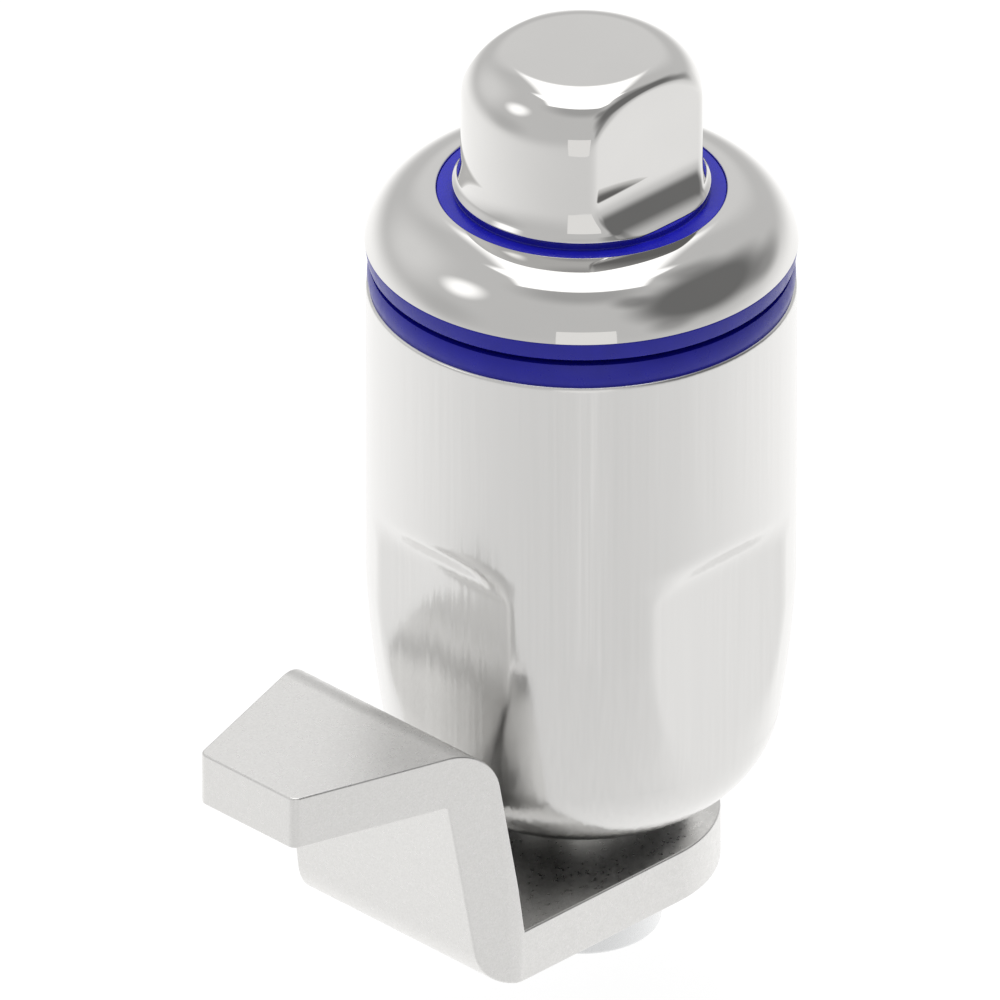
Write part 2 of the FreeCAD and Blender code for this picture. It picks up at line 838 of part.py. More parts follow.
def build_return_spring(doc):
    """Compression spring between stem and shaft, its wire drawn with six sides so that it stays light."""
    body = new_body(doc, "return_spring")
    wire = size("spring_wire_radius")
    sketch = sketch_on(body, "XZ_Plane", "wire_section")
    draw_outline(sketch, polygon(size("spring_mid_radius"), size("shaft_top") + wire, wire, 6))
    height = size("stem_end") - size("shaft_top") - wire * 2
    doc.recompute()
    coil = body.newObject("PartDesign::AdditiveHelix", "coil")
    coil.Profile = sketch
    coil.ReferenceAxis = (sketch, ["V_Axis"])
    coil.Mode = "height-turns-angle"
    coil.setExpression("Height", height.text)
    coil.setExpression("Turns", size("spring_turns").text)
    doc.recompute()
    return body


# Cam and its screw

def build_cam(doc):
    """Steel plate bent twice into a step, tapered in plan from the riser to the tip."""
    body = new_body(doc, "cam")
    lean = size("cam_lean")
    bend = size("cam_bend_radius")
    # Each bend turns the plate through a right angle less the lean.
    bend_run = bend * tangent((as_size(RIGHT_ANGLE) - lean) / 2)
    bend_run_x = bend_run * sine(lean)
    bend_run_z = bend_run * cosine(lean)
    thickness = size("cam_thickness")
    top = size("cam_level")
    low = top - thickness
    leg_top = size("cam_leg_top")
    leg_low = leg_top - thickness
    inner_x = -size("cam_inner_corner")
    outer_x = inner_x - thickness / cosine(lean)
    high_corner_x = inner_x - (leg_top - top) * tangent(lean)
    low_corner_x = outer_x + thickness * tangent(lean)
    side_sketch = sketch_on(body, "XZ_Plane", "side_outline")
    draw_outline(side_sketch, [
        (size("cam_half_width"), low),
        (size("cam_half_width"), top),
        (inner_x, top),
        (high_corner_x + bend_run_x, leg_top - bend_run_z),
        Bend(bend, RIGHT),
        (high_corner_x - bend_run, leg_top),
        (-size("cam_reach"), leg_top),
        (-size("cam_reach"), leg_low),
        (outer_x - (leg_low - top) * tangent(lean), leg_low),
        (low_corner_x - bend_run_x, low + bend_run_z),
        Bend(bend, RIGHT),
        (low_corner_x + bend_run, low),
    ])
    pad(body, side_sketch, "bent_plate", size("cam_half_width") * 2, both_ways=True)
    draw_plan_cut(body)
    hole_sketch = sketch_on(body, "XY_Plane", "square_hole_outline")
    half_hole = size("cam_square_hole") / 2
    draw_outline(hole_sketch, rectangle(-half_hole, half_hole, -half_hole, half_hole))
    cut_through(body, hole_sketch, "square_hole")
    doc.recompute()
    return body


def draw_plan_cut(body):
    """Cuts away what lies outside the plan of the cam: a round end, straight sides and a taper."""
    half = size("cam_half_width")
    reach = -size("cam_reach")
    start = -size("cam_taper_start")
    taper = size("cam_taper")
    tip_half = half - (start - reach) * tangent(taper)
    tip_round = size("cam_tip_round")
    tip_run = tip_round * tangent((as_size(RIGHT_ANGLE) - taper) / 2)
    side_x = reach + tip_run * cosine(taper)
    side_y = tip_half + tip_run * sine(taper)
    margin = size("cut_margin")
    clear = half + margin
    sketch = sketch_on(body, "XY_Plane", "plan_outline")
    draw_outline(sketch, rectangle(reach - margin, clear, -clear, clear), "outside")
    draw_outline(sketch, [
        (start, -half),
        (0, -half),
        Bend(half, RIGHT),
        (half, 0),
        Bend(half, RIGHT),
        (0, half),
        (start, half),
        (side_x, side_y),
        Bend(tip_round, RIGHT),
        (reach, tip_half - tip_run),
        (reach, -tip_half + tip_run),
        Bend(tip_round, RIGHT),
        (side_x, -side_y),
    ], "inside")
    cut_through(body, sketch, "plan_cut")


def build_cam_screw(doc):
    """Screw with a plain cylindrical head, driven by a hexagon socket in its underside."""
    body = new_body(doc, "cam_screw")
    head = size("screw_head_radius")
    edge = size("screw_edge_chamfer")
    low = size("screw_head_low")
    seat = size("cam_level") - size("cam_thickness")
    turn(body, [
        (0, size("screw_end")),
        (size("tapped_hole_radius"), size("screw_end")),
        (size("tapped_hole_radius"), seat),
        (head, seat),
        (head, low + edge),
        (head - edge, low),
        (0, low),
    ])
    corner_radius = size("screw_socket_width") / root(as_size(3))
    socket_sketch = sketch_on(body, "XY_Plane", "socket_outline")
    draw_outline(socket_sketch, polygon(as_size(0), as_size(0), corner_radius, 6))
    cut_up(body, socket_sketch, "socket", low, size("screw_socket_depth"))
    doc.recompute()
    return body


def check(doc, parts):
    """Stops with a message if a feature failed or a part has no sound shape."""
    for item in doc.Objects:
        if "Invalid" in item.State or "Error" in item.State:
            raise RuntimeError("{} failed: {}".format(item.Label, item.State))
    for part in parts:
        if part.Shape.isNull() or not part.Shape.isValid():
            raise RuntimeError("{} has no sound shape".format(part.Label))
        if len(part.Shape.Solids) != 1:
            raise RuntimeError("{} has {} solids".format(part.Label, len(part.Shape.Solids)))


def main():
    doc = FreeCAD.newDocument("compression_latch")
    fill_sheet(doc)
    parts = [
        build_drive_head(doc),
        build_stem_o_ring(doc),
        build_helix_sleeve(doc),
        cross_pin(doc, "drive_pin", "XZ_Plane", size("drive_pin_level")),
        build_thrust_washer(doc),
        build_housing(doc),
        build_head_seal(doc),
        build_flange_seal(doc),
        build_sleeve_seal(doc),
        build_sleeve_nut(doc),
        build_shaft_guide_ring(doc),
        build_shaft_seal(doc),
        build_guide_carrier(doc),
        build_end_bush(doc),
        build_bush_key(doc),
        build_circlip(doc),
        build_cam_shaft(doc),
        cross_pin(doc, "lift_pin", "YZ_Plane", size("lift_pin_level")),
        build_return_spring(doc),
        build_cam(doc),
        build_cam_screw(doc),
    ]
    doc.recompute()
    check(doc, parts)
    os.makedirs("parts", exist_ok=True)
    for part in parts:
        part.Shape.exportStep("parts/{}.step".format(part.Label))
        print(part.Label, round(part.Shape.Volume, 1))


main()
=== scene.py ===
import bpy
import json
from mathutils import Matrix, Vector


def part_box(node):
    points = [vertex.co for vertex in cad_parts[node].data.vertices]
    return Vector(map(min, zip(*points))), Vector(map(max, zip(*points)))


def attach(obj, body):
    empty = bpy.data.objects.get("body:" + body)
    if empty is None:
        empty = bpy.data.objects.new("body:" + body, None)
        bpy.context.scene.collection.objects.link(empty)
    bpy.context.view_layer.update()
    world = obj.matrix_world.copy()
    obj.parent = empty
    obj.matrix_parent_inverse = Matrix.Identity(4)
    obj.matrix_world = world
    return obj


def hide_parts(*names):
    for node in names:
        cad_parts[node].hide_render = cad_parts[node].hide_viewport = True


bl_info = {
    "name": "Compression Latch",
    "version": (1, 0, 0),
    "blender": (4, 5, 0),
    "location": "3D View > Sidebar > Latch",
    "description": "Smooth metal, seals, screw and studio for a compression latch",
    "category": "Object",
}

import json
import math
from contextlib import contextmanager
from functools import partial

import bmesh
import bpy
from mathutils import Matrix, Vector

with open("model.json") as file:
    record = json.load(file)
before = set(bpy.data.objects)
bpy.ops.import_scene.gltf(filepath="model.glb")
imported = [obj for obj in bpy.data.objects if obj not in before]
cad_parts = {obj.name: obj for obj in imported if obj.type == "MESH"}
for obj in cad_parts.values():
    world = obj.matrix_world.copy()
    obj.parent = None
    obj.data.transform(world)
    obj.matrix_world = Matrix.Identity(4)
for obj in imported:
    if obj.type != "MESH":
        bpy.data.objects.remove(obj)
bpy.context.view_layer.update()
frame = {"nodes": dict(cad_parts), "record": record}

MM = 0.001
FULL_TURN = 2 * math.pi
SAME_POINT = 1e-7
FINISHED = " finish"

# radii and levels that pieces share
FLANGE_RADIUS = 15.098 * MM
HUB_RADIUS, SEAT_LEVEL = 7.0 * MM, 2.4 * MM
PANEL_SEAL_RADIUS, PANEL_SEAL_FOOT = 11.1 * MM, -1.41 * MM
ROD_SEAL_RADIUS, ROD_SEAL_TOP = 7.5 * MM, -41.8 * MM

# directions of the main view, which looks down by 30 degrees at the corner between -X and -Y
FRONT = Vector((-0.70711, -0.70711, 0))
SIDE = Vector((0.70711, -0.70711, 0))
VIEW_UP = Vector((0.35355, 0.35355, 0.86603))
VIEW_BACK = Vector((-0.61237, -0.61237, 0.5))
TILT_COS, TILT_SIN = 0.86603, 0.5


def top_of(node):
    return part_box(node)[1].z


def foot_of(node):
    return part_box(node)[0].z


# Sizes and colours that a user would change


def length(name, default, description):
    return bpy.props.FloatProperty(name=name, description=description, default=default, unit="LENGTH")


def number(name, default, least, description):
    return bpy.props.FloatProperty(name=name, description=description, default=default, min=least)


def colour(name, default, description):
    return bpy.props.FloatVectorProperty(
        name=name, description=description, default=default, subtype="COLOR", size=3, min=0, max=1)


class LatchHeadSizes(bpy.types.PropertyGroup):
    radius: length("Head Radius", 8.4 * MM, "Radius of the operating head above its flare")
    top: length("Head Top", top_of("drive_head"), "Height of the flat top of the head")
    edge_round: length("Edge Round", 3.54 * MM, "Radius of the round between top and side")
    flat_span: length("Across Flats", 13.0 * MM, "Distance between the two spanner flats")
    scoop_radius: length("Scoop Radius", 3.08 * MM, "Radius of the hollow that ends each flat")
    scoop_level: length("Scoop Level", 7.4 * MM, "Height at which the hollow begins")
    flare_radius: length("Flare Radius", 5.0 * MM, "Radius of the flare between side and collar")
    collar_radius: length("Collar Radius", 9.0 * MM, "Radius of the collar at the foot of the head")
    soft_edge: length("Soft Edge", 0.75 * MM, "Width over which the edges of the flats are rounded")


class LatchHousingSizes(bpy.types.PropertyGroup):
    flange_radius: length("Flange Radius", FLANGE_RADIUS, "Outer radius of the domed flange")
    flange_top: length("Flange Top", top_of("housing_body"), "Height of the flange round the head")
    dome_radius: length("Dome Radius", 5.097 * MM, "Radius of the domed edge of the flange")
    seat_radius: length("Seat Radius", 10.1 * MM, "Radius of the seat of the small seal")
    neck_radius: length("Neck Radius", 11.0 * MM, "Radius of the neck that goes through the door")
    neck_flat_span: length("Neck Across Flats", 20.0 * MM, "Distance between the two flats of the neck")


class LatchSleeveSizes(bpy.types.PropertyGroup):
    radius: length("Sleeve Radius", 15.0 * MM, "Outer radius of the sleeve nut")
    flat_span: length("Across Wrench Flats", 27.0 * MM, "Distance between opposite wrench flats")
    flat_level: length(
        "Wrench Flat Level", -20.33 * MM, "Height at which the wrench flats begin to slope out")
    flat_slope: number(
        "Wrench Flat Slope", 1.15, 0.1, "How steeply the upper end of each wrench flat slopes out")
    run_out: length("Run Out", 1.8 * MM, "Width over which the upper end of each wrench flat is rounded")
    foot_round: length("Foot Round", 7.8 * MM, "Radius of the rounded lower end")
    soft_edge: length("Soft Edge", 0.26 * MM, "Width over which the edges of the flats are rounded")
    foot_softness: length("Foot Softness", 0.9 * MM, "What is added to that width at the lower end")


class LatchCamSizes(bpy.types.PropertyGroup):
    thickness: length("Cam Thickness", 4.0 * MM, "Thickness of the plate of the cam")
    half_width: length("Half Width", 9.77 * MM, "Half the width of the cam at the shaft")
    bend_radius: length("Bend Radius", 4.0 * MM, "Radius of the outer side of both bends")
    soft_edge: length("Soft Edge", 0.15 * MM, "Radius of the softened edges of the plate")


class LatchSpringSizes(bpy.types.PropertyGroup):
    coil_radius: length("Coil Radius", 4.05 * MM, "Radius of the coil at the middle of the wire")
    wire_radius: length("Wire Radius", 0.5 * MM, "Radius of the spring wire")
    turns: number("Turns", 4.0, 1.0, "Number of turns of the coil")


class LatchFinish(bpy.types.PropertyGroup):
    polished_steel: colour("Polished Steel", (0.80, 0.795, 0.785), "Colour of the head and the flange")
    brushed_sleeve_steel: colour("Sleeve Steel", (0.81, 0.807, 0.80), "Colour of the sleeve nut")
    blasted_steel: colour("Blasted Steel", (0.825, 0.821, 0.811), "Colour of the cam")
    seal_rubber: colour("Seal Rubber", (0.010, 0.010, 0.36), "Colour of the blue seals")
    pale_screw: colour("Pale Screw", (0.86, 0.87, 0.88), "Colour of the cam screw")
    inner_steel: colour("Turned Steel", (0.62, 0.62, 0.61), "Colour of the inner steel parts")
    spring_steel: colour("Spring Steel", (0.46, 0.46, 0.48), "Colour of the spring and the circlip")
    guide_plastic: colour("Guide Plastic", (0.80, 0.78, 0.70), "Colour of the washer and the guide ring")
    black_rubber: colour(
        "Black Rubber", (0.025, 0.025, 0.025), "Colour of the ring round the stem and of the rod seal")


class LatchStudio(bpy.types.PropertyGroup):
    lens: number(
        "Lens", 1650.0, 50.0, "Focal length in millimetres; long, so that the view is almost parallel")
    view_width: length("View Width", 69.41 * MM, "Width of the picture at the object")
    lamp_power: number("Lamp Power", 2.2, 0.0, "Power of the soft lamp over the object in watts")


SETTINGS = {
    "latch_head": LatchHeadSizes,
    "latch_housing": LatchHousingSizes,
    "latch_sleeve": LatchSleeveSizes,
    "latch_cam": LatchCamSizes,
    "latch_spring": LatchSpringSizes,
    "latch_finish": LatchFinish,
    "latch_studio": LatchStudio,
}


# Profiles in radius and height


def straight(start, end, count):
    """Points from start to end, with both."""
    return [(start[0] + (end[0] - start[0]) * i / count, start[1] + (end[1] - start[1]) * i / count)
            for i in range(count + 1)]


def bow(centre, radius, first, last, count):
    """Points on an arc, by its angles in degrees from the radial direction."""
    points = []
    for i in range(count + 1):
        angle = math.radians(first + (last - first) * i / count)
        points.append((centre[0] + radius * math.cos(angle), centre[1] + radius * math.sin(angle)))
    return points


def swung(start, radius, first, last, count):
    """Points on an arc from start, by its headings in degrees from straight down towards outside."""
    sign = 1 if last > first else -1
    a = math.radians(first)
    points = []
    for i in range(count + 1):
        b = math.radians(first + (last - first) * i / count)
        points.append((start[0] + sign * radius * (math.cos(a) - math.cos(b)),
                       start[1] - sign * radius * (math.sin(b) - math.sin(a))))
    return points


def onward(start, heading, length):
    """The point that lies this far from start in a heading as above."""
    angle = math.radians(heading)
    return (start[0] + length * math.sin(angle), start[1] - length * math.cos(angle))


def joined(*runs):
    """One profile from several runs, without the points that two runs share."""
    points = []
    for run in runs:
        for point in run:
            if not points or math.dist(point, points[-1]) > SAME_POINT:
                points.append(point)
    if math.dist(points[0], points[-1]) < SAME_POINT:
        points.pop()
    return points


def softened(points, radius, count=4):
    """A closed profile of straight sides with each corner rounded."""
    longest = 0.45
    runs = []
    for index, corner in enumerate(map(Vector, points)):
        before = Vector(points[index - 1]) - corner
        after = Vector(points[(index + 1) % len(points)]) - corner
        cut = min(radius, before.length * longest, after.length * longest)
        first, last = corner + before.normalized() * cut, corner + after.normalized() * cut
        runs.append([tuple(first * (1 - t) ** 2 + corner * 2 * t * (1 - t) + last * t ** 2)
                     for t in (i / count for i in range(count + 1))])
    return joined(*runs)


def rolled_edge(radius, top, round_radius, ease, count=72):
    """Rounded edge from a flat top to an upright side, with a curvature that comes and goes gently."""
    tightening = 0.985
    bend = 1 / (round_radius * tightening)
    length = math.pi / 2 / bend + ease
    step = length / count
    tilt, across, down = 0.0, 0.0, 0.0
    points = [(0.0, 0.0)]
    for i in range(count):
        along = (i + 0.5) * step
        share = min(1.0, along / ease, (length - along) / ease)
        tilt += bend * share * step
        across += math.cos(tilt) * step
        down += math.sin(tilt) * step
        points.append((across, down))
    return [(radius - across + x, top - z) for x, z in points]


def rounded_min(value, limit, width):
    """The smaller of the two, with a rounded corner where they meet."""
    near = max(width - abs(value - limit), 0.0) / width
    return min(value, limit) - near * near * width / 4


# Meshes


@contextmanager
def opened(mesh):
    """The mesh open for editing, and written back at the end."""
    work = bmesh.new()
    work.from_mesh(mesh)
    yield work
    work.to_mesh(mesh)
    work.free()


def mesh_from(name, vertices, faces):
    mesh = bpy.data.meshes.new(name)
    mesh.from_pydata(vertices, [], faces)
    mesh.update()
    with opened(mesh) as work:
        bmesh.ops.remove_doubles(work, verts=work.verts, dist=SAME_POINT)
        bmesh.ops.recalc_face_normals(work, faces=work.faces)
    return mesh


def turned_mesh(name, profile, steps, reshape=None):
    """Mesh of a profile turned about the latch axis. reshape moves each point, as a flat does.

    A profile that begins on the axis ends there too; any other is a closed one.
    """
    on_axis = 1e-9
    vertices = []
    rings = []
    for radius, height in profile:
        if radius < on_axis:
            rings.append([len(vertices)] * steps)
            vertices.append((0.0, 0.0, height))
            continue
        rings.append(list(range(len(vertices), len(vertices) + steps)))
        for i in range(steps):
            angle = FULL_TURN * i / steps
            place = (radius * math.cos(angle), radius * math.sin(angle), height)
            vertices.append(reshape(*place) if reshape else place)
    faces = []
    pairs = list(zip(rings, rings[1:]))
    if profile[0][0] > on_axis:
        pairs.append((rings[-1], rings[0]))
    for upper, lower in pairs:
        for i in range(steps):
            j = (i + 1) % steps
            corners = list(dict.fromkeys([upper[i], lower[i], lower[j], upper[j]]))
            if len(corners) > 2:
                faces.append(corners)
    return mesh_from(name, vertices, faces)


def new_object(name, data):
    piece = bpy.data.objects.new(name, data)
    bpy.context.scene.collection.objects.link(piece)
    return piece


def add_piece(name, mesh, body, slot, nodes=()):
    """Puts a mesh in the scene as a finished piece that moves with its body."""
    mesh.materials.clear()
    mesh.materials.append(finish(slot))
    piece = new_object(name, mesh)
    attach(piece, body)
    if nodes:
        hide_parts(*nodes)


def smooth_by_angle(mesh, degrees):
    """Shades a mesh smooth, apart from its edges that are sharper than this."""
    mesh.shade_smooth()
    mesh.set_sharp_from_angle(angle=math.radians(degrees))
    return mesh


def discard(piece):
    mesh = piece.data
    bpy.data.objects.remove(piece)
    bpy.data.meshes.remove(mesh)


def plain_mesh(piece):
    """The mesh of a work object with its modifiers applied; the work object is removed."""
    bpy.context.view_layer.update()
    graph = bpy.context.evaluated_depsgraph_get()
    mesh = bpy.data.meshes.new_from_object(piece.evaluated_get(graph))
    discard(piece)
    return mesh


def with_holes(mesh, cutters, ways=("DIFFERENCE",)):
    """The mesh with the closed meshes in cutters taken out of it, or kept where a way is INTERSECT."""
    body = new_object("work_body", mesh)
    tools = [new_object("work_cutter", cutter) for cutter in cutters]
    for tool, way in zip(tools, ways):
        cut = body.modifiers.new("cut", "BOOLEAN")
        cut.operation, cut.solver, cut.object = way, "EXACT", tool
    result = plain_mesh(body)
    for tool in tools:
        discard(tool)
    return result


def rounded_outline(corners, count):
    """Points of a closed outline from its corners, each given with the radius of its rounding."""
    points = []
    for index, (x, y, radius) in enumerate(corners):
        corner = Vector((x, y))
        if radius == 0:
            points.append((x, y))
            continue
        before = (Vector(corners[index - 1][:2]) - corner).normalized()
        after = (Vector(corners[(index + 1) % len(corners)][:2]) - corner).normalized()
        half_angle = before.angle(after) / 2
        centre = corner + (before + after).normalized() * radius / math.sin(half_angle)
        first = corner + before * radius / math.tan(half_angle) - centre
        turn = first.angle_signed(corner + after * radius / math.tan(half_angle) - centre)
        for i in range(count + 1):
            points.append(tuple(centre + Matrix.Rotation(-turn * i / count, 2) @ first))
    return points


def prism(name, outline, depth, place):
    """Closed mesh of an outline drawn out to both sides; place turns a point and a level into a place."""
    mesh = bpy.data.meshes.new(name)
    with opened(mesh) as work:
        rings = [[work.verts.new(place(a, b, level)) for a, b in outline] for level in (-depth, depth)]
        for i in range(len(outline)):
            j = (i + 1) % len(outline)
            work.faces.new((rings[0][i], rings[0][j], rings[1][j], rings[1][i]))
        bmesh.ops.triangulate(work, faces=[work.faces.new(ring) for ring in rings])
        bmesh.ops.recalc_face_normals(work, faces=work.faces)
    return mesh


def rod(radius, start, end, sides, turned_by=0.0):
    """Closed straight rod between two points, used as a cutter."""
    start, end = Vector(start), Vector(end)
    turn = (end - start).to_track_quat("Z", "Y").to_matrix().to_4x4()
    mesh = bpy.data.meshes.new("cutter")
    with opened(mesh) as work:
        bmesh.ops.create_cone(
            work, cap_ends=True, segments=sides, radius1=radius, radius2=radius,
            depth=(end - start).length, matrix=Matrix.Rotation(turned_by, 4, "Z"))
        work.transform(Matrix.Translation((start + end) / 2) @ turn)
    return mesh


# Node trees


def add_node(tree, kind, inputs=(), **settings):
    """A node with these settings, its inputs fed by numbers or by other nodes' outputs."""
    node = tree.nodes.new(kind)
    for name, value in settings.items():
        setattr(node, name, value)
    for socket, value in dict(inputs).items():
        if isinstance(value, bpy.types.NodeSocket):
            tree.links.new(value, node.inputs[socket])
        else:
            node.inputs[socket].default_value = value
    return node


def math_node(tree, operation, *values):
    return add_node(tree, "ShaderNodeMath", enumerate(values), operation=operation).outputs[0]


def ramp(tree, value, start, end, low=0.0, high=1.0):
    """A soft step of a value from low to high."""
    return add_node(tree, "ShaderNodeMapRange", {
        "Value": value, "From Min": start, "From Max": end, "To Min": low, "To Max": high,
    }, interpolation_type="SMOOTHSTEP").outputs[0]


def new_tree(name, **sockets):
    """A geometry node tree with these named inputs; returns it with its input and output nodes."""
    tree = bpy.data.node_groups.new(name, "GeometryNodeTree")
    tree.interface.new_socket("Geometry", in_out="OUTPUT", socket_type="NodeSocketGeometry")
    for socket, kind in sockets.items():
        tree.interface.new_socket(socket.replace("_", " "), in_out="INPUT", socket_type="NodeSocket" + kind)
    tree.interface.new_socket("Material", in_out="INPUT", socket_type="NodeSocketMaterial")
    return tree, tree.nodes.new("NodeGroupInput"), tree.nodes.new("NodeGroupOutput")


def end_tree(tree, geometry, inputs, outputs):
    """Ends a tree with its instances made real and its material set."""
    real = add_node(tree, "GeometryNodeRealizeInstances", {"Geometry": geometry})
    named = add_node(tree, "GeometryNodeSetMaterial", {
        "Geometry": real.outputs["Geometry"], "Material": inputs.outputs["Material"]})
    tree.links.new(named.outputs["Geometry"], outputs.inputs["Geometry"])


def grown(name, base, tree, values):
    """The mesh that a node tree makes of a base mesh with these values of its inputs."""
    seed = new_object(name, base)
    grow = seed.modifiers.new("grow", "NODES")
    grow.node_group = tree
    for item in tree.interface.items_tree:
        if item.in_out == "INPUT" and item.name in values:
            grow[item.identifier] = values[item.name]
    mesh = plain_mesh(seed)
    if not mesh.polygons:
        raise RuntimeError(name + " came out empty")
    with opened(mesh) as work:
        bmesh.ops.recalc_face_normals(work, faces=work.faces)
    return mesh


def turning_tree():
    """Node tree that turns a profile about the latch axis and cuts four flats with rounded edges.

    Above Level the flats slope outward until they leave the round body. Below Foot Level their edges
    are rounded more, by Foot Softness.
    """
    tree, inputs, outputs = new_tree(
        "turned_with_flats", Profile="Geometry", Steps="Int", Half_Span="Float", Level="Float",
        Slope="Float", Run_Out="Float", Soft_Edge="Float", Foot_Level="Float", Foot_Softness="Float")
    given = inputs.outputs
    calc, add = partial(math_node, tree), partial(add_node, tree)

    size = add("GeometryNodeAttributeDomainSize", {"Geometry": given["Profile"]})
    count = size.outputs["Point Count"]
    rows = calc("ADD", given["Steps"], 1.0)
    grid = add("GeometryNodeMeshGrid", {"Vertices X": calc("ADD", count, 1.0), "Vertices Y": rows})
    index = add("GeometryNodeInputIndex").outputs[0]
    along = calc("FLOORED_MODULO", calc("FLOOR", calc("DIVIDE", calc("ADD", index, 0.5), rows)), count)
    around = calc("FLOORED_MODULO", index, rows)
    sample = add("GeometryNodeSampleIndex", {
        "Geometry": given["Profile"], "Value": add("GeometryNodeInputPosition").outputs[0],
        "Index": along}, data_type="FLOAT_VECTOR")
    place = add("ShaderNodeSeparateXYZ", {0: sample.outputs[0]}).outputs
    radius, height = place["X"], place["Z"]
    angle = calc("DIVIDE", calc("MULTIPLY", around, FULL_TURN), given["Steps"])

    rise = calc("SMOOTH_MAX", calc("SUBTRACT", height, given["Level"]), 0.0, given["Run Out"])
    limit = calc("ADD", given["Half Span"], calc("MULTIPLY", rise, given["Slope"]))
    below, above, foot_reach = 0.8, 0.6, 6 * MM
    near = calc("SUBTRACT", given["Level"], calc("MULTIPLY", given["Run Out"], below))
    far = calc("ADD", given["Level"], calc("MULTIPLY", given["Run Out"], above))
    foot_end = calc("ADD", given["Foot Level"], foot_reach)
    softness = calc("ADD", ramp(tree, height, near, far, given["Soft Edge"], given["Run Out"]),
                    ramp(tree, height, given["Foot Level"], foot_end, given["Foot Softness"], 0.0))
    moved = add("ShaderNodeCombineXYZ", {"Z": height})
    for axis, wave in (("X", "COSINE"), ("Y", "SINE")):
        value = calc("MULTIPLY", radius, calc(wave, angle))
        kept = calc("SMOOTH_MIN", calc("ABSOLUTE", value), limit, softness)
        tree.links.new(calc("MULTIPLY", kept, calc("SIGN", value)), moved.inputs[axis])
    shaped = add("GeometryNodeSetPosition", {
        "Geometry": grid.outputs["Mesh"], "Position": moved.outputs[0]})
    merged = add("GeometryNodeMergeByDistance", {"Geometry": shaped.outputs[0], "Distance": SAME_POINT})
    end_tree(tree, merged.outputs[0], inputs, outputs)
    return tree


def blank_material(name):
    material = bpy.data.materials.new(name)
    material.use_nodes = True
    material.node_tree.nodes.clear()
    return material


# Finishes


METAL = {"Metallic": 1.0}
FINE_RELIEF, ROUGH_RELIEF = 0.01 * MM, 0.02 * MM
BLASTING = (7000, 2, 0.6)
PLATING = (4200, 3)
TURNING = (6500, 2, 0.5, (0.02, 0.02, 1))
DRAWING = (3000, 3)
CUTTING = (5200, 2, 0.5, (0.05, 0.05, 1))

# Fixed values of a finish, pattern and range of its tone, pattern and range of its roughness, and
# pattern, depth and strength of its relief. A pattern is a scale, a detail, a roughness and a stretch.
GRAINS = {
    # mirror-polished steel, with the faint unevenness that polishing leaves
    "polished_steel": (METAL, (180, 3), (0.985, 1.01), (420, 3), (0.02, 0.04), (260, 2), FINE_RELIEF, 0.06),
    # fine bead-blasted steel with small bright grains
    "blasted_steel": (METAL, BLASTING, (0.95, 1.04), (2600, 2), (0.26, 0.38), BLASTING, ROUGH_RELIEF, 0.25),
    # smooth moulded rubber with a soft gloss
    "seal_rubber": ({"Specular IOR Level": 0.35}, (900, 3), (0.94, 1.06), (1400, 3), (0.26, 0.38),
                    (3800, 3), FINE_RELIEF, 0.06),
    # pale plated steel, almost white
    "pale_screw": (METAL, PLATING, (0.97, 1.02), PLATING, (0.24, 0.34), PLATING, FINE_RELIEF, 0.12),
    # steel as it comes from the lathe, with fine rings
    "inner_steel": (METAL, TURNING, (0.92, 1.05), TURNING, (0.22, 0.36), TURNING, FINE_RELIEF, 0.3),
    # drawn wire, slightly darker, with faint marks
    "spring_steel": (METAL, DRAWING, (0.85, 1.08), DRAWING, (0.24, 0.40), DRAWING, FINE_RELIEF, 0.3),
    # natural machined plastic
    "guide_plastic": ({}, (700, 2), (0.96, 1.02), (1600, 2), (0.40, 0.52), CUTTING, FINE_RELIEF, 0.2),
    # smooth black rubber
    "black_rubber": ({}, (900, 2), (0.8, 1.2), (1500, 2), (0.42, 0.56), (4000, 2), FINE_RELIEF, 0.2),
}


